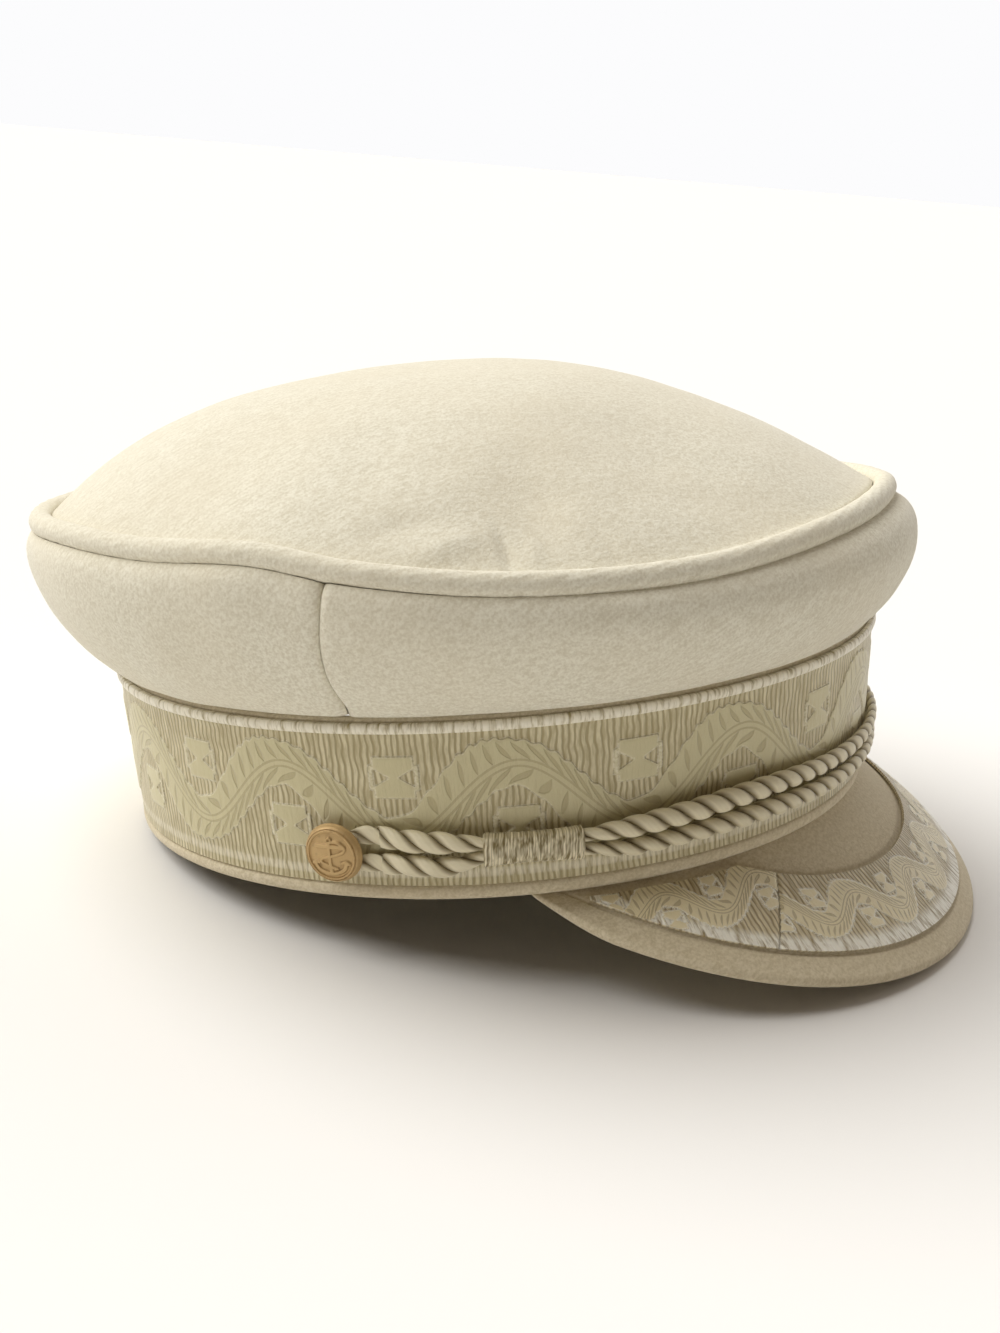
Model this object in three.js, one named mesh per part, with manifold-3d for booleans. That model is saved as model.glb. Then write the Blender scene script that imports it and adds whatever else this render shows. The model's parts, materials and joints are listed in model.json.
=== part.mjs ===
// Skipper cap: a soft felt crown with a corded seam, a stiff band covered by a woven braid, a double
// twisted cord held by two buttons, and a felt peak trimmed with the same braid.
// Lengths are in millimetres and angles in degrees. The cap is modelled upright round the head, +Z up,
// with the peak towards -Y and the wearer's right towards -X. An angle round the head is 0 at the
// front and grows towards the wearer's right. At the end the cap is laid on its peak and its band.
import * as THREE from 'three';
import { LoftGeometry } from 'three/addons/geometries/LoftGeometry.js';
import { mergeVertices } from 'three/addons/utils/BufferGeometryUtils.js';
import Module from 'manifold-3d';

// Space between pieces that are sewn, wound or laid together
const CLEARANCE = 0.3;

// Felt: the wall of the crown and of the band
const FELT_THICK = 2.2;

// Head opening, inside the band at its lower edge: 57 cm round. Its front and rear are measured from
// its widest place.
const HEAD_HALF_WIDTH = 88;
const HEAD_FRONT = 93;
const HEAD_REAR = 95;

// Band: it widens upwards, more at the front than at the back and sides
const BAND_HEIGHT = 43;
const FLARE_SIDE = 1.4;
const FLARE_FRONT = 5;
const FLARE_REAR = 1.6;
const HEM_HEIGHT = 3.2;
const HEM_ROLL = 1;

// Outlines of the hem and of the rib, as shares of their roll or raise and of their height
const HEM_OUTLINE = [
  { out: 0.5, up: 0 },
  { out: 1, up: 0.35 },
  { out: 1, up: 0.75 },
  { out: 0, up: 1 },
];
const RIB_OUTLINE = [
  { out: 0, up: 0 },
  { out: 1, up: 0.3 },
  { out: 1, up: 0.7 },
  { out: 0, up: 1 },
];

// Woven braid round the band, with a raised rib along its upper edge
const BRAID_THICK = 0.8;
const BRAID_TOP_MARGIN = 1.2;
const RIB_HEIGHT = 2.4;
const RIB_RAISE = 0.7;

// Crown side: the rise to the corded seam, and how far seam and belly stand out over the band
const CROWN_RISE = 36;
const SEAM_OUT_SIDE = 12.4;
const SEAM_OUT_FRONT = 4.5;
const SEAM_OUT_REAR = 16;
const BELLY_OUT_SIDE = 18;
const BELLY_OUT_FRONT = 15.5;
const BELLY_OUT_REAR = 23.5;
const SIDE_SEAM_ANGLE = 91.5;

// The seam's height round the head, as a share of the crown's rise, and how far it is drawn in there
// as a share of how far it stands out. The wearer's right is slack behind the side seam.
const SEAM_WAVE = [
  { at: 0, rise: 0.87, drawn: 0 },
  { at: 25, rise: 0.84, drawn: 0 },
  { at: 50, rise: 0.79, drawn: 0 },
  { at: 72, rise: 0.85, drawn: 0 },
  { at: 88, rise: 0.97, drawn: 0 },
  { at: 100, rise: 1.08, drawn: 0.1 },
  { at: 116, rise: 1.08, drawn: 0.12 },
  { at: 135, rise: 1.11, drawn: 0.04 },
  { at: 158, rise: 1.07, drawn: 0 },
  { at: 180, rise: 1.03, drawn: 0 },
  { at: 215, rise: 1.04, drawn: 0 },
  { at: 250, rise: 1.03, drawn: 0 },
  { at: 280, rise: 0.95, drawn: 0 },
  { at: 312, rise: 0.76, drawn: 0 },
  { at: 338, rise: 0.8, drawn: 0 },
];

// Pull of the crown side's curve at the band and at the seam, as shares of belly and rise, and the
// slope below level at which the side comes to the seam
const SIDE_PULL = { startOut: 0.62, startUp: 0.18, endOut: 1.3, endUp: 0.86 };
const SIDE_MEETING_ANGLE = 63;

// Corded seam round the crown's top
const PIPING_DIAMETER = 5.6;

// Crown top: the height of its highest point over the band, how far back that lies, and how full the
// dome is at front, side and rear (1 is a cone, 2 a round dome)
const CROWN_HEIGHT = 68;
const CROWN_SET_BACK = 4;
const DOME_POWER_FRONT = 2;
const DOME_POWER_SIDE = 2.3;
const DOME_POWER_REAR = 3.2;

// Soft dents of the crown top: place, width in degrees, place along the radius from 0 at the middle
// to 1 at the seam, its width, and depth as a share of the felt
const TOP_DENTS = [
  { at: 67, spread: 7, along: 0.84, width: 0.14, depth: 0.9 },
  { at: 38, spread: 16, along: 0.72, width: 0.22, depth: 1.2 },
  { at: 300, spread: 18, along: 0.75, width: 0.2, depth: 0.8 },
];

// Peak: a felt-covered board sewn under the band's lower edge
const PEAK_REACH = 47;
const PEAK_THICK = 3.2;
const PEAK_HALF_ANGLE = 70.5;
const PEAK_OUTLINE_POWER = 2.4;
const PEAK_CORNER = 3;
const PEAK_FRONT_ANGLE = 47.5;
const PEAK_CORNER_ANGLE = 22;
const PEAK_BOW = 0.6;
const PEAK_TUCK = 2.6;
const PEAK_RIM_ANGLE = 54;

// Braid trim on the peak: a crescent whose ends run under the band
const TRIM_MARGIN_FRONT = 7.5;
const TRIM_MARGIN_CORNER = 9;
const TRIM_INSET = 19;
const TRIM_INSET_SHARE = 0.62;
const TRIM_INSET_POWER = 2.9;
const TRIM_END_WIDTH = 1;

// Twisted cords: their diameter, and their run from the front to a button. Over is the middle's height
// over the button's middle, stand the space to the braid, and tall and deep the section's half sizes,
// all as shares of the cord's radius. Both cords are drawn together at the keepers and pressed flat
// under the buttons.
const CORD_DIAMETER = 5.3;
const CORD_RUN_UPPER = [
  { at: 0, over: 0.88, stand: 0.05, tall: 0.86, deep: 0.5 },
  { at: 22, over: 1.12, stand: 0.1, tall: 0.88, deep: 0.62 },
  { at: 34, over: 1.5, stand: 0.2, tall: 0.95, deep: 0.88 },
  { at: 42, over: 1.53, stand: 0.3, tall: 1, deep: 1 },
  { at: 50, over: 1.22, stand: 0.35, tall: 1, deep: 1 },
  { at: 58, over: 0.9, stand: 0.4, tall: 0.9, deep: 1 },
  { at: 64.5, over: 0.75, stand: 0.5, tall: 0.5, deep: 0.8 },
  { at: 75.5, over: 0.82, stand: 0.5, tall: 0.5, deep: 0.8 },
  { at: 80.5, over: 1, stand: 0.35, tall: 0.92, deep: 1 },
  { at: 86, over: 1.16, stand: 0.2, tall: 1, deep: 0.9 },
  { at: 91, over: 1.36, stand: 0.1, tall: 0.78, deep: 0.48 },
  { at: 94, over: 1.25, stand: 0.1, tall: 0.5, deep: 0.36 },
];
const CORD_RUN_LOWER = [
  { at: 0, over: -1.18, stand: 0.05, tall: 0.82, deep: 0.5 },
  { at: 22, over: -1.05, stand: 0.08, tall: 0.86, deep: 0.62 },
  { at: 34, over: -0.69, stand: 0.12, tall: 0.92, deep: 0.88 },
  { at: 42, over: -0.64, stand: 0.12, tall: 0.92, deep: 1 },
  { at: 50, over: -0.78, stand: 0.12, tall: 0.84, deep: 1 },
  { at: 58, over: -0.92, stand: 0.2, tall: 0.76, deep: 1 },
  { at: 64.5, over: -0.36, stand: 0.5, tall: 0.5, deep: 0.8 },
  { at: 75.5, over: -0.29, stand: 0.5, tall: 0.5, deep: 0.8 },
  { at: 80.5, over: -1.08, stand: 0.35, tall: 0.86, deep: 1 },
  { at: 86, over: -1.03, stand: 0.2, tall: 0.95, deep: 0.9 },
  { at: 91, over: -1.1, stand: 0.1, tall: 0.76, deep: 0.48 },
  { at: 94, over: -1.25, stand: 0.1, tall: 0.5, deep: 0.36 },
];

// Keepers: thread wound round both cords. The power of their section's outline runs from 1, an oval,
// down to 0, a box.
const KEEPER_FROM_ANGLE = 63.8;
const KEEPER_TO_ANGLE = 76.2;
const KEEPER_WALL = 0.5;
const KEEPER_POWER = 0.6;

// Buttons: cast domes with a raised rim and an anchor with its rope
const BUTTON_DIAMETER = 14;
const BUTTON_ANGLE = 95.8;
const BUTTON_UP = 12.5;
const BUTTON_SHANK_DIAMETER = 3.2;
const BUTTON_BACK_HEIGHT = 2.8;
const BUTTON_EDGE_HEIGHT = 1.9;
const BUTTON_RIM_HEIGHT = 0.35;
const BUTTON_DOME_HEIGHT = 0.7;

// Button's outline from its back to the middle of its face: across as a share of the radius, then how
// much of the edge's, the rim's and the dome's height lies below the point
const BUTTON_OUTLINE = [
  { across: 0.86, edge: 0, rim: 0, dome: 0 },
  { across: 1, edge: 0.4, rim: 0, dome: 0 },
  { across: 1, edge: 1, rim: 0, dome: 0 },
  { across: 0.94, edge: 1, rim: 1, dome: 0 },
  { across: 0.86, edge: 1, rim: 1, dome: 0 },
  { across: 0.8, edge: 1, rim: 0, dome: 0 },
  { across: 0.45, edge: 1, rim: 0, dome: 0.75 },
  { across: 0, edge: 1, rim: 0, dome: 1 },
];

// Anchor and rope, raised on the dome: the anchor's half height, the lines' height over the dome and
// their width. Each further line is a little lower, so that no two tops lie in one plane.
const ANCHOR_HALF_HEIGHT = 4.6;
const RELIEF_HEIGHT = 0.5;
const RELIEF_LINE_WIDTH = 0.75;
const RELIEF_STEP_SHARE = 0.01;

// Places are shares of the anchor's half height, widths of the line's width
const ANCHOR_BARS = [
  { part: 'shank', fromX: 0, fromY: 0.62, toX: 0, toY: -0.9 },
  { part: 'stock', fromX: -0.51, fromY: 0.44, toX: 0.51, toY: 0.41 },
  { part: 'right fluke', fromX: -0.97, fromY: -0.36, toX: -0.55, toY: -0.25 },
  { part: 'left fluke', fromX: 0.97, fromY: -0.36, toX: 0.55, toY: -0.25 },
];
const ANCHOR_BOWS = [
  { part: 'ring', y: 0.81, radius: 0.2, from: 97, to: 441, width: 0.6 },
  { part: 'arms', y: -0.1, radius: 0.79, from: 203, to: 339, width: 1 },
];
const ROPE = { swing: 0.6, turn: 378, start: 23, top: 0.9, bottom: -0.65, width: 0.8 };

// Facets
const STEPS_ROUND = 56;
const STEPS_TOP = 8;
const STEPS_SIDE = 7;
const STEPS_PIPING = 8;
const STEPS_PIPING_RUN = 68;
const STEPS_CORD = 8;
const STEPS_CORD_RUN = 40;
const STEPS_PEAK = 28;
const STEPS_PEAK_RUN = 6;
const STEPS_PEAK_RIM = 3;
const STEPS_TRIM_RUN = 5;
const STEPS_KEEPER = 4;
const STEPS_BUTTON = 24;
const STEPS_BOW = 7;
const STEPS_ROPE = 13;
const HALVINGS = 30;

const FELT_CREAM = { color: 0xd9c9ac, roughness: 0.95, metalness: 0 };
const SATIN_CREAM = { color: 0xb7a67c, roughness: 0.45, metalness: 0 };
const CORD_CREAM = { color: 0xcdbf9c, roughness: 0.6, metalness: 0 };
const ANTIQUE_GOLD = { color: 0xb78f5c, roughness: 0.55, metalness: 0.6 };

const wasm = await Module();
wasm.setup();

const radians = THREE.MathUtils.degToRad;

// One value of a table's column at an angle. The curve passes through every row, with the slope there
// that its two neighbours have. A closed table runs once round the head.
function along(rows, column, angle, closed) {
  const count = rows.length;
  const turn = closed ? 360 : 0;
  const at = closed ? THREE.MathUtils.euclideanModulo(angle, 360) : angle;
  let first = 0;
  while (first < count - 1 && rows[first + 1].at <= at) {
    first += 1;
  }
  const knot = (index) => {
    const wrapped = closed ? THREE.MathUtils.euclideanModulo(index, count)
      : THREE.MathUtils.clamp(index, 0, count - 1);
    const lap = closed ? Math.floor(index / count) : 0;
    return { at: rows[wrapped].at + lap * turn, value: rows[wrapped][column] };
  };
  const [before, from, to, after] = [-1, 0, 1, 2].map((shift) => knot(first + shift));
  const span = to.at - from.at;
  if (span === 0) {
    return from.value;
  }
  const slopeFrom = span * (to.value - before.value) / (to.at - before.at);
  const slopeTo = span * (after.value - from.value) / (after.at - from.at);
  const t = (at - from.at) / span;
  return from.value * (1 + 2 * t) * (1 - t) ** 2 + slopeFrom * t * (1 - t) ** 2
    + to.value * t * t * (3 - 2 * t) + slopeTo * t * t * (t - 1);
}

// The last value on the way from one to another for which a test still holds
function lastWhere(from, to, holds) {
  let [inside, outside] = [from, to];
  for (let halving = 0; halving < HALVINGS; halving += 1) {
    const middle = (inside + outside) / 2;
    if (holds(middle)) {
      inside = middle;
    } else {
      outside = middle;
    }
  }
  return inside;
}

// Share of a side, front and rear size at an angle round the head
function round(angle, side, front, rear) {
  const facing = Math.cos(radians(angle));
  const end = facing > 0 ? front : rear;
  return side + (end - side) * facing * facing;
}

// A point round the head: how far out of the band's inner face, and how high
function place(angle, out, up) {
  const share = up / BAND_HEIGHT;
  const reached = THREE.MathUtils.clamp(share, 0, 1);
  const facing = Math.cos(radians(angle));
  const [reach, flare] = facing > 0 ? [HEAD_FRONT, FLARE_FRONT] : [HEAD_REAR, FLARE_REAR];
  const halfWidth = HEAD_HALF_WIDTH + FLARE_SIDE * reached + out;
  const halfLength = reach + flare * reached + out;
  return new THREE.Vector3(-halfWidth * Math.sin(radians(angle)), -halfLength * facing, up);
}

// A section round the head: its points are [out, up] pairs, counterclockwise with out to the right
function section(angle, points) {
  return points.map(([out, up]) => place(angle, out, up));
}

// Every angle from one end to the other, both included
function angles(from, to, steps) {
  return Array.from({ length: steps + 1 }, (_, step) => from + (to - from) * step / steps);
}

// A ring right round the head, joined to itself
function ring(profile, steps = STEPS_ROUND) {
  return new LoftGeometry(angles(0, 360, steps).map((angle) => section(angle, profile(angle))));
}

// A piece that ends at two angles
function arc(profile, from, to, steps) {
  const sections = angles(from, to, steps).map((angle) => section(angle, profile(angle)));
  return new LoftGeometry(sections, { capStart: true, capEnd: true });
}

function piece(name, geometry, finish) {
  const mesh = new THREE.Mesh(geometry, new THREE.MeshStandardMaterial(finish));
  mesh.name = name;
  return mesh;
}

// The braid's back and face round the head, and its lower and upper edge
const BRAID_BACK = FELT_THICK + CLEARANCE;
const BRAID_FACE = BRAID_BACK + BRAID_THICK;
const BRAID_FOOT = HEM_HEIGHT + CLEARANCE;
const BRAID_HEAD = BAND_HEIGHT - BRAID_TOP_MARGIN;

// The band is one strip of felt whose lower edge is rolled into a hem
function headBand() {
  const hem = HEM_OUTLINE.map(({ out, up }) => [FELT_THICK + HEM_ROLL * out, HEM_HEIGHT * up]);
  return ring(() => [[0, 0], ...hem, [FELT_THICK, BAND_HEIGHT], [0, BAND_HEIGHT]]);
}

function bandBraid() {
  const foot = BRAID_HEAD - RIB_HEIGHT;
  const rib = RIB_OUTLINE.map(({ out, up }) => [BRAID_FACE + RIB_RAISE * out, foot + RIB_HEIGHT * up]);
  return ring(() => [[BRAID_BACK, BRAID_FOOT], [BRAID_FACE, BRAID_FOOT], ...rib, [BRAID_BACK, BRAID_HEAD]]);
}

// Middle of the corded seam
function seamCentre(angle) {
  const out = round(angle, SEAM_OUT_SIDE, SEAM_OUT_FRONT, SEAM_OUT_REAR);
  return {
    out: FELT_THICK + out * (1 - along(SEAM_WAVE, 'drawn', angle, true)),
    up: BAND_HEIGHT + CROWN_RISE * along(SEAM_WAVE, 'rise', angle, true),
  };
}

function piping() {
  return ring((angle) => {
    const centre = seamCentre(angle);
    return angles(0, 360, STEPS_PIPING).slice(0, -1).map((turn) => [
      centre.out + PIPING_DIAMETER / 2 * Math.cos(radians(turn)),
      centre.up + PIPING_DIAMETER / 2 * Math.sin(radians(turn)),
    ]);
  }, STEPS_PIPING_RUN);
}

// Crown side: a wall that leaves the band outwards, bellies out over it and turns in to the seam.
// Its middle line is a cubic curve, and the two faces lie half the felt to each side.
function sideProfile(angle) {
  const seam = seamCentre(angle);
  const belly = round(angle, BELLY_OUT_SIDE, BELLY_OUT_FRONT, BELLY_OUT_REAR);
  const reach = PIPING_DIAMETER / 2 + CLEARANCE + FELT_THICK / 4;
  const slope = radians(SIDE_MEETING_ANGLE);
  const start = new THREE.Vector2(FELT_THICK / 2, BAND_HEIGHT + CLEARANCE);
  const end = new THREE.Vector2(seam.out + reach * Math.cos(slope), seam.up - reach * Math.sin(slope));
  const rise = end.y - start.y;
  const spare = belly - (end.x - start.x);
  const line = new THREE.CubicBezierCurve(
    start,
    new THREE.Vector2(start.x + SIDE_PULL.startOut * belly, start.y + SIDE_PULL.startUp * rise),
    new THREE.Vector2(end.x + SIDE_PULL.endOut * spare, start.y + SIDE_PULL.endUp * rise),
    end,
  );
  const outer = [];
  const inner = [];
  for (let step = 0; step <= STEPS_SIDE; step += 1) {
    const middle = line.getPoint(step / STEPS_SIDE);
    const tangent = line.getTangent(step / STEPS_SIDE);
    const side = step === 0 ? new THREE.Vector2(1, 0) : new THREE.Vector2(tangent.y, -tangent.x);
    outer.push([middle.x + side.x * FELT_THICK / 2, middle.y + side.y * FELT_THICK / 2]);
    inner.push([middle.x - side.x * FELT_THICK / 2, middle.y - side.y * FELT_THICK / 2]);
  }
  return [...outer, ...inner.reverse()];
}

// The gap at a side seam as an angle round the head
const SEAM_GAP_ANGLE = THREE.MathUtils.radToDeg(CLEARANCE / 2 / HEAD_HALF_WIDTH);

function frontSidePanel() {
  const end = SIDE_SEAM_ANGLE - SEAM_GAP_ANGLE;
  return arc(sideProfile, -end, end, STEPS_ROUND / 2);
}

function rearSidePanel() {
  const end = SIDE_SEAM_ANGLE + SEAM_GAP_ANGLE;
  return arc(sideProfile, end, 360 - end, STEPS_ROUND / 2);
}

// Crown top: from the corded seam the felt rises to its highest point. A share of 0 is the middle
// and 1 the edge, which lies against the inside of the piping.
function crownTopPoint(angle, share) {
  const seam = seamCentre(angle);
  const reach = PIPING_DIAMETER / 2 + CLEARANCE;
  const edge = place(angle, seam.out - reach, seam.up + FELT_THICK / 2);
  const middle = new THREE.Vector3(0, CROWN_SET_BACK, BAND_HEIGHT + CROWN_HEIGHT);
  const fullness = round(angle, DOME_POWER_SIDE, DOME_POWER_FRONT, DOME_POWER_REAR);
  const point = middle.clone().lerp(edge, share);
  point.z = middle.z + (edge.z - middle.z) * share ** fullness;
  for (const dent of TOP_DENTS) {
    const turned = THREE.MathUtils.euclideanModulo(angle - dent.at + 180, 360) - 180;
    const far = (turned / dent.spread) ** 2 + ((share - dent.along) / dent.width) ** 2;
    point.z -= dent.depth * FELT_THICK * Math.exp(-far);
  }
  return point;
}

function crownTop() {
  const shares = Array.from({ length: STEPS_TOP + 1 }, (_, step) => step / STEPS_TOP);
  const turns = angles(360, 0, STEPS_ROUND).slice(0, -1);
  const ringAt = (share, drop) => turns.map((angle) => {
    const point = crownTopPoint(angle, share);
    point.z -= drop;
    return point;
  });
  const under = shares.map((share) => ringAt(share, FELT_THICK));
  const over = shares.map((share) => ringAt(share, 0)).reverse();
  return new LoftGeometry([...under, ...over]);
}

// Peak: from under the band's edge it runs out and down, steeper at the front than at the corners.
// The angle picks the place round the head, run is the distance from the root and lift the height
// over the board's upper face.
const PEAK_ROOT = FELT_THICK + HEM_ROLL - PEAK_TUCK;
const TRIM_START = PEAK_TUCK + BRAID_THICK + 2 * CLEARANCE;

function peakLength(angle) {
  const share = Math.abs(angle / PEAK_HALF_ANGLE);
  return PEAK_CORNER + (PEAK_REACH - PEAK_CORNER) * (1 - share ** PEAK_OUTLINE_POWER);
}

function peakPoint(angle, run, lift) {
  const share = angle / PEAK_HALF_ANGLE;
  const drop = radians(PEAK_FRONT_ANGLE + (PEAK_CORNER_ANGLE - PEAK_FRONT_ANGLE) * share * share);
  const length = peakLength(angle);
  const bow = PEAK_BOW * 4 * (run / length) * (1 - run / length) * length / PEAK_REACH;
  const raised = lift + bow;
  const root = place(angle, PEAK_ROOT, 0);
  const outwards = new THREE.Vector3(root.x / (HEAD_HALF_WIDTH + PEAK_ROOT) ** 2,
    root.y / (HEAD_FRONT + PEAK_ROOT) ** 2, 0).normalize();
  const point = root.addScaledVector(outwards, run * Math.cos(drop) + raised * Math.sin(drop));
  point.z += raised * Math.cos(drop) - run * Math.sin(drop) - CLEARANCE;
  return point;
}

function peak() {
  const stations = angles(-1, 1, STEPS_PEAK).map((share) => PEAK_HALF_ANGLE * Math.sin(share * Math.PI / 2));
  const sections = stations.map((angle) => {
    const flat = peakLength(angle) - PEAK_THICK / 2;
    const runs = angles(0, flat, STEPS_PEAK_RUN);
    const rim = angles(-PEAK_RIM_ANGLE, PEAK_RIM_ANGLE, STEPS_PEAK_RIM).map((turn) => peakPoint(
      angle,
      flat + PEAK_THICK / 2 * Math.cos(radians(turn)),
      PEAK_THICK / 2 * (Math.sin(radians(turn)) - 1),
    ));
    const under = runs.map((run) => peakPoint(angle, run, -PEAK_THICK));
    const over = runs.map((run) => peakPoint(angle, run, 0)).reverse();
    return [...under, ...rim, ...over];
  });
  return new LoftGeometry(sections, { capStart: true, capEnd: true });
}

// The trim's outer edge at a share of the peak's half angle, as a distance from the peak's root
function trimOuter(share) {
  const margin = TRIM_MARGIN_FRONT + (TRIM_MARGIN_CORNER - TRIM_MARGIN_FRONT) * share * share;
  return peakLength(share * PEAK_HALF_ANGLE) - margin;
}

function peakBraid() {
  const end = lastWhere(0, 1, (share) => trimOuter(share) > TRIM_START + TRIM_END_WIDTH);
  const sections = angles(-end, end, STEPS_PEAK).map((share) => {
    const angle = share * PEAK_HALF_ANGLE;
    const inset = TRIM_INSET * (1 - Math.abs(share / TRIM_INSET_SHARE) ** TRIM_INSET_POWER);
    const runs = angles(Math.max(TRIM_START, inset), trimOuter(share), STEPS_TRIM_RUN);
    const under = runs.map((run) => peakPoint(angle, run, CLEARANCE));
    const over = runs.map((run) => peakPoint(angle, run, CLEARANCE + BRAID_THICK)).reverse();
    return [...under, ...over];
  });
  return new LoftGeometry(sections, { capStart: true, capEnd: true });
}

// The angle at which the cords go under a button's edge
const UNDER_BUTTON_ANGLE = BUTTON_ANGLE
  - THREE.MathUtils.radToDeg((BUTTON_DIAMETER + CORD_DIAMETER) / 2 / HEAD_HALF_WIDTH);

// Section of a cord at an angle: the middle and the half sizes of its oval
function cordSection(run, angle) {
  const from = Math.abs(angle);
  const [over, stand, tall, thick] = ['over', 'stand', 'tall', 'deep'].map(
    (column) => CORD_DIAMETER / 2 * along(run, column, from, false));
  const room = (BUTTON_BACK_HEIGHT - CLEARANCE - stand) / 2;
  const deep = from > UNDER_BUTTON_ANGLE ? Math.min(thick, room) : thick;
  return { tall, deep, up: BUTTON_UP + over, out: BRAID_FACE + CLEARANCE + stand + deep };
}

function oval(centre, grow, steps) {
  return angles(0, 360, steps).slice(0, -1).map((turn) => [
    centre.out + (centre.deep + grow) * Math.cos(radians(turn)),
    centre.up + (centre.tall + grow) * Math.sin(radians(turn)),
  ]);
}

function cord(run) {
  const end = run[run.length - 1].at;
  return arc((angle) => oval(cordSection(run, angle), 0, STEPS_CORD), -end, end, STEPS_CORD_RUN);
}

// Keeper: a sleeve round both cords. Its inner and outer faces are joined at both ends.
function keeper(side) {
  const squared = (value) => Math.sign(value) * Math.abs(value) ** KEEPER_POWER;
  const bundle = (angle, grow) => {
    const upper = cordSection(CORD_RUN_UPPER, angle);
    const lower = cordSection(CORD_RUN_LOWER, angle);
    const tall = (upper.up + upper.tall - lower.up + lower.tall) / 2;
    const out = (upper.out + lower.out) / 2;
    const up = lower.up - lower.tall + tall;
    return angles(15, 345, 11).map((turn) => [
      out + (upper.deep + grow) * squared(Math.cos(radians(turn))),
      up + (tall + grow) * squared(Math.sin(radians(turn))),
    ]);
  };
  const stations = angles(KEEPER_FROM_ANGLE, KEEPER_TO_ANGLE, STEPS_KEEPER).map((angle) => side * angle);
  stations.sort((before, after) => before - after);
  const outside = stations.map((angle) => section(angle, bundle(angle, CLEARANCE + KEEPER_WALL)));
  const inside = stations.map((angle) => section(angle, bundle(angle, CLEARANCE))).reverse();
  return new LoftGeometry([...outside, ...inside, outside[0]]);
}

// A closed geometry as a solid that can be joined, and back
function solid(geometry) {
  const bare = geometry.clone();
  bare.deleteAttribute('normal');
  bare.deleteAttribute('uv');
  const merged = mergeVertices(bare, 1e-4);
  return new wasm.Manifold(new wasm.Mesh({
    numProp: 3,
    vertProperties: new Float32Array(merged.attributes.position.array),
    triVerts: new Uint32Array(merged.index.array),
  }));
}

function geometryOf(manifold) {
  const mesh = manifold.getMesh();
  const geometry = new THREE.BufferGeometry();
  geometry.setAttribute('position', new THREE.BufferAttribute(mesh.vertProperties, 3));
  geometry.setIndex(new THREE.BufferAttribute(mesh.triVerts, 1));
  geometry.computeVertexNormals();
  return geometry;
}

// A raised line of even width along a route in the button's face plane
function reliefLine(route, steps, width, depth) {
  const points = angles(0, 1, steps).map((t) => route(t));
  const sides = points.map(([x, y], index) => {
    const [backX, backY] = points[Math.max(index - 1, 0)];
    const [nextX, nextY] = points[Math.min(index + 1, steps)];
    const across = new THREE.Vector2(backY - nextY, nextX - backX).setLength(width / 2);
    return [[x + across.x, y + across.y], [x - across.x, y - across.y]];
  });
  const outline = [...sides.map(([left]) => left), ...sides.map(([, right]) => right).reverse()];
  const shape = new THREE.Shape(outline.map(([x, y]) => new THREE.Vector2(x, y)));
  return solid(new THREE.ExtrudeGeometry(shape, { depth, bevelEnabled: false }));
}

// Routes of the anchor's straight and round parts and of the rope that winds down its shank
function barPoint({ fromX, fromY, toX, toY }, t) {
  return [fromX + (toX - fromX) * t, fromY + (toY - fromY) * t].map((share) => share * ANCHOR_HALF_HEIGHT);
}

function bowPoint({ y, radius, from, to }, t) {
  const turn = radians(from + (to - from) * t);
  return [radius * Math.cos(turn), y + radius * Math.sin(turn)].map((share) => share * ANCHOR_HALF_HEIGHT);
}

function ropePoint(t) {
  const swing = ROPE.swing * Math.sin(radians(ROPE.start + ROPE.turn * t));
  return [swing, ROPE.top + (ROPE.bottom - ROPE.top) * t].map((share) => share * ANCHOR_HALF_HEIGHT);
}

// Button: turned shank, back and dome with a raised rim, and an anchor with its rope on the face.
// Its axis is +Z, with the anchor's ring towards +Y, and its back rests at a height of 0.
function button() {
  const radius = BUTTON_DIAMETER / 2;
  const face = BUTTON_BACK_HEIGHT + BUTTON_EDGE_HEIGHT;
  const outline = BUTTON_OUTLINE.map(({ across, edge, rim, dome }) => [
    radius * across,
    BUTTON_BACK_HEIGHT + BUTTON_EDGE_HEIGHT * edge + BUTTON_RIM_HEIGHT * rim + BUTTON_DOME_HEIGHT * dome,
  ]);
  const shank = BUTTON_SHANK_DIAMETER / 2;
  const profile = [[0, 0], [shank, 0], [shank, BUTTON_BACK_HEIGHT], ...outline];
  const points = profile.map(([x, y]) => new THREE.Vector2(x, y));
  const turned = new THREE.LatheGeometry(points, STEPS_BUTTON).rotateX(Math.PI / 2);
  const sunk = BUTTON_EDGE_HEIGHT / 3;
  const lines = [
    ...ANCHOR_BARS.map((bar) => ({ route: (t) => barPoint(bar, t), steps: 1, width: 1 })),
    ...ANCHOR_BOWS.map((bow) => ({ route: (t) => bowPoint(bow, t), steps: STEPS_BOW, width: bow.width })),
    { route: ropePoint, steps: STEPS_ROPE, width: ROPE.width },
  ];
  const marks = lines.map(({ route, steps, width }, index) => {
    const depth = (sunk + BUTTON_DOME_HEIGHT + RELIEF_HEIGHT) * (1 - RELIEF_STEP_SHARE * index);
    return reliefLine(route, steps, RELIEF_LINE_WIDTH * width, depth).translate([0, 0, face - sunk]);
  });
  return geometryOf(marks.reduce((joined, mark) => joined.add(mark), solid(turned)));
}

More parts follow.
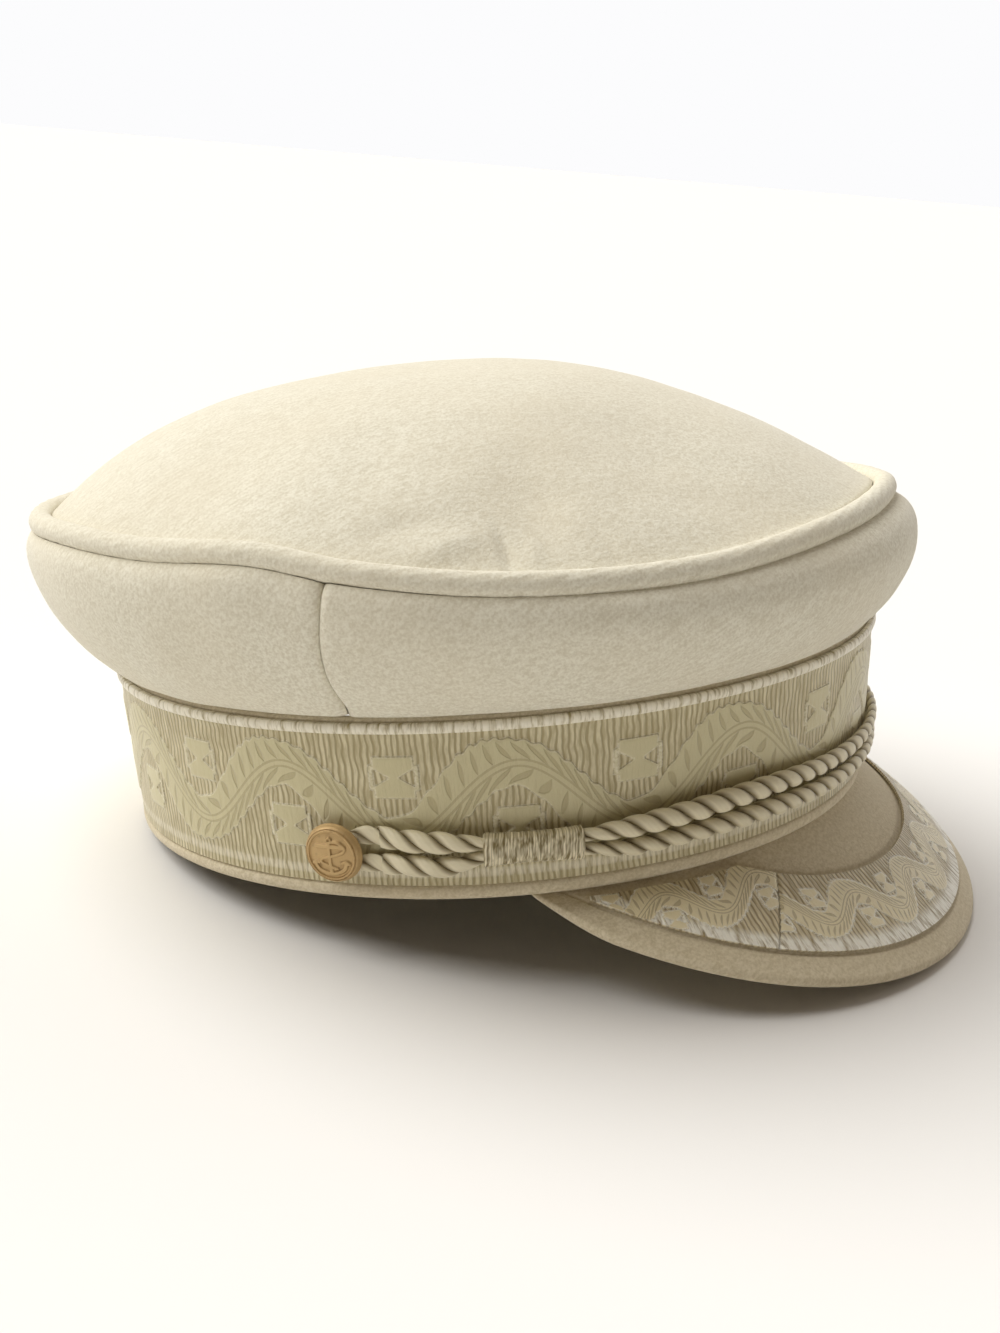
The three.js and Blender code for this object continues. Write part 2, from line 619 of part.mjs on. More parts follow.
// Seats a button on the braid's face, its axis along the band's outward normal there
function seatButton(mesh, angle) {
  const foot = place(angle, BRAID_FACE, BUTTON_UP);
  const above = place(angle, BRAID_FACE, BUTTON_UP + 1);
  const beside = place(angle + 1, BRAID_FACE, BUTTON_UP);
  const up = above.sub(foot).normalize();
  const across = beside.sub(foot).cross(up).normalize();
  const outwards = across.dot(foot) > 0 ? across : across.negate();
  const sideways = new THREE.Vector3().crossVectors(up, outwards);
  mesh.quaternion.setFromRotationMatrix(new THREE.Matrix4().makeBasis(sideways, up, outwards));
  mesh.position.copy(foot).addScaledVector(outwards, CLEARANCE);
  return mesh;
}

const cap = new THREE.Group();
cap.add(
  piece('crown_top', crownTop(), FELT_CREAM),
  piece('front_side_panel', frontSidePanel(), FELT_CREAM),
  piece('rear_side_panel', rearSidePanel(), FELT_CREAM),
  piece('piping', piping(), FELT_CREAM),
  piece('head_band', headBand(), FELT_CREAM),
  piece('band_braid', bandBraid(), SATIN_CREAM),
  piece('cord_upper', cord(CORD_RUN_UPPER), CORD_CREAM),
  piece('cord_lower', cord(CORD_RUN_LOWER), CORD_CREAM),
  piece('keeper_right', keeper(1), SATIN_CREAM),
  piece('keeper_left', keeper(-1), SATIN_CREAM),
  seatButton(piece('button_right', button(), ANTIQUE_GOLD), BUTTON_ANGLE),
  seatButton(piece('button_left', button(), ANTIQUE_GOLD), -BUTTON_ANGLE),
  piece('peak', peak(), FELT_CREAM),
  piece('peak_braid', peakBraid(), SATIN_CREAM),
);

// Resting: the cap tips back until the peak and the back of the band stand on one level
function lowest(name, tilt) {
  const points = cap.getObjectByName(name).geometry.attributes.position;
  let low = Infinity;
  for (let index = 0; index < points.count; index += 1) {
    low = Math.min(low, points.getZ(index) * Math.cos(tilt) - points.getY(index) * Math.sin(tilt));
  }
  return low;
}

const restingTilt = lastWhere(0, Math.PI / 4, (tilt) => lowest('peak', tilt) < lowest('head_band', tilt));

cap.rotation.x = -restingTilt;
cap.updateMatrixWorld(true);
const box = new THREE.Box3().setFromObject(cap, true);
const centre = box.getCenter(new THREE.Vector3());
cap.position.set(-centre.x, -centre.y, -box.min.z);

export default cap;
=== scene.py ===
import json
import math

import bpy
import numpy as np
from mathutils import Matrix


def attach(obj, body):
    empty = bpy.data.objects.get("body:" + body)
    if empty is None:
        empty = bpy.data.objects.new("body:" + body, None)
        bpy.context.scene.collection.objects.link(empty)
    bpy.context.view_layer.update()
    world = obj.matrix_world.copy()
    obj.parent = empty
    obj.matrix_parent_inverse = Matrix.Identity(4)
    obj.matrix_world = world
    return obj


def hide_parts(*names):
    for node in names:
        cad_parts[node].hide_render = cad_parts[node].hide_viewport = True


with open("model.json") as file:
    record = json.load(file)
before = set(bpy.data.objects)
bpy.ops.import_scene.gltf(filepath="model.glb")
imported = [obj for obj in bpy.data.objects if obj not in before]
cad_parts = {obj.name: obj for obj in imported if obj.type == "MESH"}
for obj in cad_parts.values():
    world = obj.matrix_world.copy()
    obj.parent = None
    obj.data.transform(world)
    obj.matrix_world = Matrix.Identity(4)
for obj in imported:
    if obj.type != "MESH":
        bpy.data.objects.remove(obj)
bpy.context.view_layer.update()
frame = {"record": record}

# Head band: a strip of stiff wool felt round the head, its lower edge rolled into a hem. All the other
# pieces are sewn to it, so it also gives the cap its place: shapes are worked out in millimetres on the
# upright cap, with the front towards -Y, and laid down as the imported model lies.
CLEARANCE = 0.3
FELT_THICK = 2.2
HEAD_HALF_WIDTH = 88
HEAD_FRONT = 93
HEAD_REAR = 95
BAND_HEIGHT = 43
FLARE_SIDE = 1.4
FLARE_FRONT = 5
FLARE_REAR = 1.6
HEM_HEIGHT = 3.2
HEM_ROLL = 1
HEM_SWELL = 0.25
HEM_INSIDE = (0.4, 0.15)
HEM_RETURN = 0.2
BAND_EDGE = 0.5
BAND_EDGE_DROP = 0.4
BAND_STEPS = 480
BAND_ROUND = 110

mount = frame["record"]["mounts"][0]
rest_point = np.array([0, HEAD_REAR + (FELT_THICK + HEM_ROLL / 2) / 2, 0])
tip_sine = -mount["axis"][1]
tip_cosine = -mount["axis"][2]


def tip(points):
    """Points tipped back about X by the angle whose sine and cosine the mount's axis gives."""
    x, y, z = np.moveaxis(points, -1, 0)
    return np.stack([x, y * tip_cosine + z * tip_sine, z * tip_cosine - y * tip_sine], axis=-1)


def lay(points):
    """Upright millimetres to metres in the frame: tipped back, then moved so that the band's lower
    edge at the back lies on the mount's point."""
    return tip(points - rest_point) / 1000 + np.array(mount["pos_m"])


def place(angle, out, up):
    """Points round the head: an oval whose half-axes are the band's inner ones, plus its flare at that
    height, plus how far out the point lies. The angle is 0 at the front and grows to the wearer's right."""
    angle, out, up = np.broadcast_arrays(*(np.asarray(value, float) for value in (angle, out, up)))
    turn = np.radians(angle)
    reached = np.clip(up / BAND_HEIGHT, 0, 1)
    front = HEAD_FRONT + FLARE_FRONT * reached
    rear = HEAD_REAR + FLARE_REAR * reached
    half_length = np.where(np.cos(turn) > 0, front, rear) + out
    half_width = HEAD_HALF_WIDTH + FLARE_SIDE * reached + out
    return np.stack([-half_width * np.sin(turn), -half_length * np.cos(turn), up], axis=-1)


def soft_noise(points, size, seed):
    """Smooth unevenness from -1 to 1: the mean of eight sine waves that run in random directions, with
    wavelengths from one to two and a half times the size."""
    draw = np.random.default_rng(seed)
    total = np.zeros(points.shape[:-1])
    for wave in range(8):
        direction = draw.normal(size=3)
        direction /= np.linalg.norm(direction)
        length = size * draw.uniform(1, 2.5)
        total += np.sin(2 * np.pi * (points @ direction) / length + draw.uniform(0, 2 * np.pi))
    return total / 4


def unevenness(points, waves):
    """How far soft cloth lies off its even shape: the sum of soft noises, each with its own depth, size
    and random seed."""
    return sum(depth * soft_noise(points, size, seed) for depth, size, seed in waves)


def spaced(rows, steps):
    """A closed run through corner points, as that many points at even distances along it."""
    corners = np.vstack([rows, rows[:1]])
    along = np.concatenate([[0], np.cumsum(np.linalg.norm(np.diff(corners, axis=0), axis=1))])
    wanted = np.linspace(0, along[-1], steps, endpoint=False)
    return np.stack([np.interp(wanted, along, corners[:, axis]) for axis in range(rows.shape[1])], -1)


def ring_mesh(name, rings, joined=False, fields=None):
    """Closed mesh of rings, an array of rows by columns of upright points. Each ring closes on itself
    and is joined to the next one. The last joins the first where joined is set, and otherwise a fan to
    its middle closes each end. Fields are values at the same points. Faces are turned outwards by the
    sign of the volume inside them."""
    rows, columns = rings.shape[:2]
    points = rings.reshape(-1, 3)
    row = np.arange(rows if joined else rows - 1)[:, None]
    column = np.arange(columns)[None, :]
    below = (row + 1) % rows
    beside = (column + 1) % columns
    corners = [row * columns + column, below * columns + column,
               below * columns + beside, row * columns + beside]
    quads = np.stack(np.broadcast_arrays(*corners), axis=-1).reshape(-1, 4)
    fans = np.zeros((0, 3), int)
    if not joined:
        points = np.vstack([points, rings[0].mean(axis=0), rings[-1].mean(axis=0)])
        each = np.arange(columns)
        after = (each + 1) % columns
        last = (rows - 1) * columns
        middle = np.full(columns, rows * columns)
        fans = np.vstack([np.stack([middle, each, after], axis=-1),
                          np.stack([middle + 1, last + after, last + each], axis=-1)])
    halves = np.vstack([quads[:, [0, 1, 2]], quads[:, [0, 2, 3]], fans])
    a, b, c = (points[halves[:, corner]] - points.mean(axis=0) for corner in range(3))
    if np.einsum("ij,ij->", a, np.cross(b, c)) < 0:
        quads, fans = quads[:, ::-1], fans[:, ::-1]
    mesh = bpy.data.meshes.new(name)
    mesh.from_pydata(lay(points).tolist(), [], quads.tolist() + fans.tolist())
    for field, values in (fields or {}).items():
        flat = values.reshape(rows * columns, -1)
        if not joined:
            flat = np.vstack([flat, flat[:columns].mean(axis=0), flat[-columns:].mean(axis=0)])
        kind, key = ("FLOAT_VECTOR", "vector") if flat.shape[1] == 3 else ("FLOAT", "value")
        attribute = mesh.attributes.new(field, kind, "POINT")
        attribute.data.foreach_set(key, flat.astype(np.float32).ravel())
    mesh.polygons.foreach_set("use_smooth", np.ones(len(mesh.polygons), bool))
    mesh.set_sharp_from_angle(angle=math.radians(60))
    piece = bpy.data.objects.new(name, mesh)
    bpy.context.scene.collection.objects.link(piece)
    return piece


def linear(hex_colour):
    """An sRGB hex colour as linear red, green, blue and alpha."""
    parts = [int(hex_colour[start:start + 2], 16) / 255 for start in (1, 3, 5)]
    return [part / 12.92 if part <= 0.04045 else ((part + 0.055) / 1.055) ** 2.4 for part in parts] + [1]


def add(tree, kind, inputs=None, **settings):
    """Adds a shader node. Settings are its own properties. Inputs go by name or number: a socket is
    linked, and a value is set."""
    node = tree.nodes.new("ShaderNode" + kind)
    for key, value in settings.items():
        setattr(node, key, value)
    for key, value in (inputs or {}).items():
        if isinstance(value, bpy.types.NodeSocket):
            tree.links.new(value, node.inputs[key])
        else:
            node.inputs[key].default_value = value
    return node


def new_material(name):
    """An empty material with its node tree."""
    material = bpy.data.materials.new(name)
    material.use_nodes = True
    material.node_tree.nodes.clear()
    return material, material.node_tree


NAP_SIZE = 2 / 3
TWILL_SIZE = 1
PATCH_SIZE = 35.7
TWILL_TURN = (0, math.radians(54), math.radians(-52))


def wool_felt(name, light, dark, patch):
    """Fulled wool felt: matt, with matted fibres that mottle it at two thirds of a millimetre, a faint
    slanting twill under the nap, softer patches some centimetres wide, and a dull sheen of fibre ends
    at grazing angles."""
    material, tree = new_material(name)
    where = add(tree, "TexCoord").outputs["Object"]
    nap = add(tree, "TexNoise", {"Vector": where, "Scale": 1000 / NAP_SIZE, "Detail": 3,
                                 "Roughness": 0.6})
    drawn = add(tree, "Mapping", {"Vector": where, "Rotation": TWILL_TURN, "Scale": (1, 1, 4)},
                vector_type="TEXTURE")
    twill = add(tree, "TexNoise", {"Vector": drawn.outputs[0], "Scale": 1000 / TWILL_SIZE, "Detail": 1})
    cloud = add(tree, "TexNoise", {"Vector": where, "Scale": 1000 / PATCH_SIZE, "Detail": 2})
    both = add(tree, "Math", {0: twill.outputs["Fac"], 1: 0.5, 2: nap.outputs["Fac"]},
               operation="MULTIPLY_ADD")
    fleck = add(tree, "MapRange", {"Value": both.outputs[0], "From Min": 0.58, "From Max": 0.92})
    tone = add(tree, "Mix", {0: fleck.outputs["Result"], 6: linear(dark), 7: linear(light)},
               data_type="RGBA")
    warm = add(tree, "MapRange", {"Value": cloud.outputs["Fac"], "From Min": 0.35, "From Max": 0.75,
                                  "To Max": 0.35})
    colour = add(tree, "Mix", {0: warm.outputs["Result"], 6: tone.outputs[2], 7: linear(patch)},
                 data_type="RGBA")
    bump = add(tree, "Bump", {"Height": both.outputs[0], "Strength": 0.5, "Distance": 0.00025})
    shader = add(tree, "BsdfPrincipled", {
        "Base Color": colour.outputs[2], "Normal": bump.outputs["Normal"], "Roughness": 0.93,
        "IOR": 1.53, "Specular IOR Level": 0.25, "Sheen Weight": 0.2, "Sheen Roughness": 0.6})
    add(tree, "OutputMaterial", {"Surface": shader.outputs[0]})
    return material


FELT = wool_felt("cream wool felt", "#E9E5D3", "#D3CCB6", "#DCD2B9")
# A darker copy of the cream felt for the band and the peak: partly their own tan, partly painted shade for
# parts that sit low and face away from the light.
TAN_AND_SHADED_FELT = wool_felt("tan wool felt with painted shade", "#E3D8BD", "#CCBF9F", "#D5C6A5")

hem_turn = np.radians(np.linspace(-80, 80, 13))
hem_out = FELT_THICK + HEM_ROLL / 2 + (HEM_ROLL / 2 + HEM_SWELL) * np.cos(hem_turn)
hem_up = HEM_HEIGHT / 2 * (1 + np.sin(hem_turn))
hem = np.stack([hem_out, hem_up], axis=-1)
above_hem = [(FELT_THICK, HEM_HEIGHT + HEM_RETURN), (FELT_THICK, BAND_HEIGHT - BAND_EDGE_DROP),
             (FELT_THICK - BAND_EDGE, BAND_HEIGHT), (BAND_EDGE, BAND_HEIGHT),
             (0, BAND_HEIGHT - BAND_EDGE), (0, BAND_EDGE)]
band_profile = spaced(np.vstack([[HEM_INSIDE], hem, above_hem]), BAND_ROUND)
band_angles = np.linspace(0, 360, BAND_STEPS, endpoint=False)
band_points = place(band_angles[:, None], band_profile[None, :, 0], band_profile[None, :, 1])
band_felt = ring_mesh("band_felt", band_points, joined=True)
# The band takes the darker felt, which holds painted shade.
band_felt.data.materials.append(TAN_AND_SHADED_FELT)
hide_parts("head_band")
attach(band_felt, "root")

# Crown side: two strips of the same felt that lean out over the band, belly out and turn in to the
# corded seam. They are sewn together at each temple, where their edges roll in to the stitches.
CROWN_RISE = 36
SEAM_OUT = (12.4, 4.5, 16)
BELLY_OUT = (18, 15.5, 23.5)
SIDE_SEAM_ANGLE = 91.5
SEAM_GAP_ANGLE = math.degrees(CLEARANCE / 2 / HEAD_HALF_WIDTH)
PIPING_RADIUS = 2.8
SIDE_MEETING_ANGLE = 63
SIDE_START_PULL = (0.62, 0.18)
SIDE_END_PULL = (1.3, 0.86)
SIDE_STEPS = 420
SIDE_RISE_STEPS = 64
SEAM_LEAN_SPREAD = 24
SIDE_EDGE_REACH = 0.4
SIDE_EDGE_FROM = 0.93
SIDE_EDGE_ROUND = 0.12
SIDE_UPRIGHT_SHARE = 0.06
SIDE_EVEN_SHARE = 0.1
SEAM_LIP_DEPTH = 1.0
FRONT_LIP_WIDTH = 2.0
REAR_LIP_WIDTH = 4.5

# Unevenness of the side: depth, size and seed
SIDE_WAVES = [(0.35, 26, 3), (0.12, 9, 4)]

# The temple seam's lean to the back, in degrees, at shares of the way up the side
SEAM_LEAN = [(0, 1.6), (0.06, 1.0), (0.14, 0.65), (0.28, 1.0), (0.42, 1.0), (0.6, 0.45), (0.75, -0.2),
             (0.88, -0.6), (1, -0.9)]

# The corded seam round the head: angle, its height as a share of the rise, and how far it is drawn in
SEAM_WAVE = [
    (0, 0.87, 0), (25, 0.84, 0), (50, 0.79, 0), (72, 0.85, 0), (88, 0.97, 0), (100, 1.08, 0.1),
    (116, 1.08, 0.12), (135, 1.11, 0.04), (158, 1.07, 0), (180, 1.03, 0), (215, 1.04, 0),
    (250, 1.03, 0), (280, 0.95, 0), (312, 0.76, 0), (338, 0.8, 0),
]


def through(rows, column, angle, closed):
    """A column of a table at each angle: a cubic between neighbouring rows, whose slope at a row is that
    of the line through the two rows beside it. A closed table runs once round the head."""
    table = np.array(rows, float)
    at, value = table[:, 0], table[:, column]
    if closed:
        angle = np.mod(angle, 360)
        at = np.concatenate([at[-2:] - 360, at, at[:3] + 360])
        value = np.concatenate([value[-2:], value, value[:3]])
    else:
        at = np.concatenate([at[:1], at, at[-1:]])
        value = np.concatenate([value[:1], value, value[-1:]])
    first = np.clip(np.searchsorted(at[1:-2], angle, side="right"), 1, len(at) - 3)
    span = at[first + 1] - at[first]
    slope_from = span * (value[first + 1] - value[first - 1]) / (at[first + 1] - at[first - 1])
    slope_to = span * (value[first + 2] - value[first]) / (at[first + 2] - at[first])
    t = (angle - at[first]) / span
    return (value[first] * (1 + 2 * t) * (1 - t) ** 2 + slope_from * t * (1 - t) ** 2
            + value[first + 1] * t * t * (3 - 2 * t) + slope_to * t * t * (t - 1))


def round_share(angle, sizes):
    """Side, front and rear size blended by the square of the cosine of the angle round the head."""
    side, front, rear = sizes
    facing = np.cos(np.radians(angle))
    return side + (np.where(facing > 0, front, rear) - side) * facing ** 2


def seam_centre(angle):
    """Out and up of the corded seam's middle."""
    out = FELT_THICK + round_share(angle, SEAM_OUT) * (1 - through(SEAM_WAVE, 2, angle, True))
    return out, BAND_HEIGHT + CROWN_RISE * through(SEAM_WAVE, 1, angle, True)


def side_profile(angle, share):
    """Middle line of the crown side and its outward normal, as out and up: a cubic curve from the
    band's upper edge to the corded seam, share 0 to 1. At its foot the normal turns level."""
    seam_out, seam_up = seam_centre(angle)
    belly = round_share(angle, BELLY_OUT)
    reach = PIPING_RADIUS + CLEARANCE + FELT_THICK / 4
    slope = math.radians(SIDE_MEETING_ANGLE)
    start = np.stack(np.broadcast_arrays(FELT_THICK / 2, BAND_HEIGHT + CLEARANCE + 0 * angle), axis=-1)
    end = np.stack([seam_out + reach * math.cos(slope), seam_up - reach * math.sin(slope)], axis=-1)
    rise = end[..., 1] - start[..., 1]
    spare = belly - (end[..., 0] - start[..., 0])
    first = np.stack([start[..., 0] + SIDE_START_PULL[0] * belly,
                      start[..., 1] + SIDE_START_PULL[1] * rise], axis=-1)
    second = np.stack([end[..., 0] + SIDE_END_PULL[0] * spare,
                       start[..., 1] + SIDE_END_PULL[1] * rise], axis=-1)
    t = share[..., None]
    middle = (start * (1 - t) ** 3 + 3 * first * t * (1 - t) ** 2 + 3 * second * t ** 2 * (1 - t)
              + end * t ** 3)
    tangent = ((first - start) * (1 - t) ** 2 + 2 * (second - first) * t * (1 - t)
               + (end - second) * t ** 2)
    tangent /= np.linalg.norm(tangent, axis=-1, keepdims=True)
    normal = np.stack([tangent[..., 1], -tangent[..., 0]], axis=-1)
    upright = np.clip(1 - share / SIDE_UPRIGHT_SHARE, 0, 1)[..., None]
    normal = normal * (1 - upright) + np.array([1.0, 0.0]) * upright
    return middle, normal / np.linalg.norm(normal, axis=-1, keepdims=True)


def side_panel(name, start, end, lip_width):
    """A strip of the crown side between two angles. Across the strip a loop runs up the outer face and
    down the inner one. The seams lean by the table, and the angles beside them with them. Near each end
    the outer face rolls in, as a square root of the distance to the seam. The whole face is a little
    uneven, and its upper edge reaches to the piping."""
    straight = np.linspace(start, end, SIDE_STEPS)
    turn = np.linspace(0, 1, SIDE_RISE_STEPS)
    edge_turn = np.linspace(0, np.pi, 6)[1:-1]
    share = np.concatenate([turn, np.ones(4), turn[::-1], np.zeros(4)])
    face = np.concatenate([np.ones(SIDE_RISE_STEPS), np.cos(edge_turn), -np.ones(SIDE_RISE_STEPS),
                           -np.cos(edge_turn)])
    cap = np.concatenate([0 * turn, np.sin(edge_turn), 0 * turn, 0 * edge_turn])
    wrapped = np.mod(straight + 180, 360) - 180
    near_right, near_left = (np.clip(1 - np.abs(wrapped - side * SIDE_SEAM_ANGLE) / SEAM_LEAN_SPREAD, 0, 1)
                             for side in (1, -1))
    lean = through(SEAM_LEAN, 1, share, False)
    angle = straight[:, None] + lean[None, :] * (near_right ** 2 - near_left ** 2)[:, None]
    middle, normal = side_profile(angle, share[None, :] + 0 * angle)
    from_seam = np.minimum(straight - start, end - straight) * math.radians(HEAD_HALF_WIDTH + BELLY_OUT[0])
    lip = np.clip(1 - from_seam / lip_width, 0, 1)
    rolled = SEAM_LIP_DEPTH * (1 - np.sqrt(np.clip(1 - lip ** 2, 0, 1)))
    bare = place(angle, middle[..., 0], middle[..., 1])
    inside = np.clip(np.minimum(share, 1 - share) / SIDE_EVEN_SHARE, 0, 1)
    uneven = unevenness(bare, SIDE_WAVES) * inside - rolled[:, None]
    half = face * (FELT_THICK / 2 + np.where(face > 0, uneven, 0))
    near_top = np.clip((share - SIDE_EDGE_FROM) / (1 - SIDE_EDGE_FROM), 0, 1)
    reach = SIDE_EDGE_REACH * near_top ** 2 + SIDE_EDGE_ROUND * cap
    points = place(angle, middle[..., 0] + normal[..., 0] * half - normal[..., 1] * reach,
                   middle[..., 1] + normal[..., 1] * half + normal[..., 0] * reach)
    piece = ring_mesh(name, points)
    piece.data.materials.append(FELT)
    return piece


side_felt_front = side_panel("side_felt_front", -SIDE_SEAM_ANGLE + SEAM_GAP_ANGLE,
                             SIDE_SEAM_ANGLE - SEAM_GAP_ANGLE, FRONT_LIP_WIDTH)
side_felt_rear = side_panel("side_felt_rear", SIDE_SEAM_ANGLE + SEAM_GAP_ANGLE,
                            360 - SIDE_SEAM_ANGLE - SEAM_GAP_ANGLE, REAR_LIP_WIDTH)
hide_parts("front_side_panel")
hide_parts("rear_side_panel")
for panel in (side_felt_front, side_felt_rear):
    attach(panel, "root")

# Piping: a cord covered with a bias strip of the felt, sewn in between the crown's side and its top.
# The strip pulls into small slanting drag lines where it is stretched round the curve.
PIPING_STEPS = 1100
PIPING_ROUND = 60
PIPING_SWELL = 0.05
BIAS_LINES = 9
BIAS_SHIFT = 9
BIAS_DEPTH = 0.03
DRAG_SPACING = 7.4
DRAG_DEPTH = 0.06
DRAG_PATCH_SIZE = 45
PIPING_SWELL_SIZE = 12

piping_angle = np.linspace(0, 360, PIPING_STEPS, endpoint=False)
piping_turn = np.linspace(0, 360, PIPING_ROUND, endpoint=False)
piping_out, piping_up = seam_centre(piping_angle)
piping_middle = place(piping_angle, piping_out, piping_up)
piping_run = np.cumsum(np.linalg.norm(np.diff(piping_middle, axis=0, prepend=piping_middle[-1:]), axis=1))
drag_phase = piping_run[:, None] / DRAG_SPACING + piping_turn[None, :] / 180
bias_phase = piping_run[:, None] / BIAS_SHIFT + BIAS_LINES * piping_turn[None, :] / 360
drag_strength = 0.5 + 0.5 * soft_noise(piping_middle, DRAG_PATCH_SIZE, 8)[:, None]
piping_swell = PIPING_SWELL * (1 + soft_noise(piping_middle, PIPING_SWELL_SIZE, 6))[:, None]
piping_radius = (PIPING_RADIUS + piping_swell
                 + DRAG_DEPTH * drag_strength * np.sin(2 * np.pi * drag_phase)
                 + BIAS_DEPTH * np.sin(2 * np.pi * bias_phase))
piping_points = place(piping_angle[:, None],
                      piping_out[:, None] + piping_radius * np.cos(np.radians(piping_turn)),
                      piping_up[:, None] + piping_radius * np.sin(np.radians(piping_turn)))
piping_felt = ring_mesh("piping_felt", piping_points, joined=True)
piping_felt.data.materials.append(FELT)
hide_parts("piping")
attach(piping_felt, "root")

# Crown top: one round of felt, blocked to a soft dome, with shallow dents where it is slack. Its edge is
# sewn in behind the piping.
CROWN_HEIGHT = 68
CROWN_SET_BACK = 4
DOME_POWER = (2.3, 2, 3.2)
TOP_STEPS = 600
TOP_RISE_STEPS = 72
TOP_RADIUS = 98
TOP_EVEN_SHARE = 0.08
TOP_DENT_END_SHARE = 0.012

# Unevenness of the top: depth, size and seed
TOP_WAVES = [(0.5, 40, 11), (0.1, 10, 12)]

# Dents and, with a minus sign, ridges: angle and share of the radius at the middle, turn of the long
# axis from the ring round the head, half length, half width and depth in millimetres
TOP_DENTS = [
    (67, 0.84, 80, 17, 9, 1.6), (38, 0.72, 90, 24, 22, 2.4), (300, 0.75, 90, 22, 24, 1.8),
    (70.6, 0.94, 96, 6, 1.3, 0.9), (78, 0.945, 28, 8, 2.2, -0.8), (83.5, 0.905, 24, 9, 3, 0.9),
    (67.5, 0.95, 84, 5, 1.6, -0.5), (58, 0.93, 100, 7, 3, 0.4),
]


def crown_top_point(angle, share):
    """Upper face of the crown top: from its highest point to the corded seam, falling by a power of the
    share of the way, less the dents, which are bell curves with two widths."""
    seam_out, seam_up = seam_centre(angle)
    edge = place(angle, seam_out - PIPING_RADIUS - CLEARANCE, seam_up + FELT_THICK / 2)
    middle = np.array([0, CROWN_SET_BACK, BAND_HEIGHT + CROWN_HEIGHT])
    point = middle + (edge - middle) * share[..., None]
    point[..., 2] = middle[2] + (edge[..., 2] - middle[2]) * share ** round_share(angle, DOME_POWER)
    for at, along, turn, long, wide, depth in TOP_DENTS:
        round_way = np.radians(np.mod(angle - at + 180, 360) - 180) * share * TOP_RADIUS
        outward = (share - along) * TOP_RADIUS
        cosine, sine = math.cos(math.radians(turn)), math.sin(math.radians(turn))
        far = ((round_way * cosine + outward * sine) / long) ** 2
        far = far + ((outward * cosine - round_way * sine) / wide) ** 2
        fade = np.clip((1 - share) / TOP_DENT_END_SHARE, 0, 1)
        point[..., 2] -= depth * np.exp(-far) * fade
    return point


top_share = 0.01 + 0.99 * np.linspace(0, 1, TOP_RISE_STEPS) ** 0.75
top_run = np.concatenate([top_share, top_share[::-1]])
top_angle = np.linspace(0, 360, TOP_STEPS, endpoint=False)
top_points = crown_top_point(top_angle[None, :] + 0 * top_run[:, None], top_run[:, None] + 0 * top_angle)
top_fade = np.clip((1 - top_run) / TOP_EVEN_SHARE, 0, 1)[:, None]
top_points[..., 2] += top_fade * unevenness(top_points, TOP_WAVES)
top_points[TOP_RISE_STEPS:, :, 2] -= FELT_THICK
crown_felt = ring_mesh("crown_felt", top_points)
crown_felt.data.materials.append(FELT)
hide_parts("crown_top")
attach(crown_felt, "root")

# Band braid: a woven galloon sewn flat round the band, its ends butted at the back. Satin threads form a
# leafy vine and small crossed boxes on a ground of upright ribs, and a wrapped rib edges it above.
BRAID_THICK = 0.8
BRAID_BACK = FELT_THICK + CLEARANCE
BRAID_FACE = BRAID_BACK + BRAID_THICK
BRAID_FOOT = HEM_HEIGHT + CLEARANCE
BRAID_HEAD = BAND_HEIGHT - 1.2
RIB_HEIGHT = 2.4
RIB_RAISE = 0.7
BRAID_STEPS = 1240
BRAID_RISE_STEPS = 70
VINE_PERIOD = 51.3
VINE_CREST_ANGLE = 103.2
VINE_MM_PER_DEGREE = VINE_PERIOD / 31.7
VINE_MIDDLE = 23.1
VINE_SWING = 8.6
ROW_WIDTH = 5.4
ROW_SWELL = 1.6
LEAVES_PER_PERIOD = 15
LEAF_LEAN = 1.15
LEAF_LEAN_SWELL = 0.85
LEAF_GAP = 0.6
LEAF_GAP_FROM = 0.18
LEAF_GAP_TO = 0.9
SCALLOP = 0.3
BOX_HALF_WIDTH = 5.4
BOX_HALF_HEIGHT = 4.9
BOX_SHOULDER = 0.6
BOX_NECK = 0.82
BOX_UP = 29.3
BOX_LOW = 16.7
BOW_TIE_SLOPE = 0.62
BOW_TIE_WAIST = 1
BOW_TIE_MARGIN = 0.9
FAR_OUTSIDE = -9.0


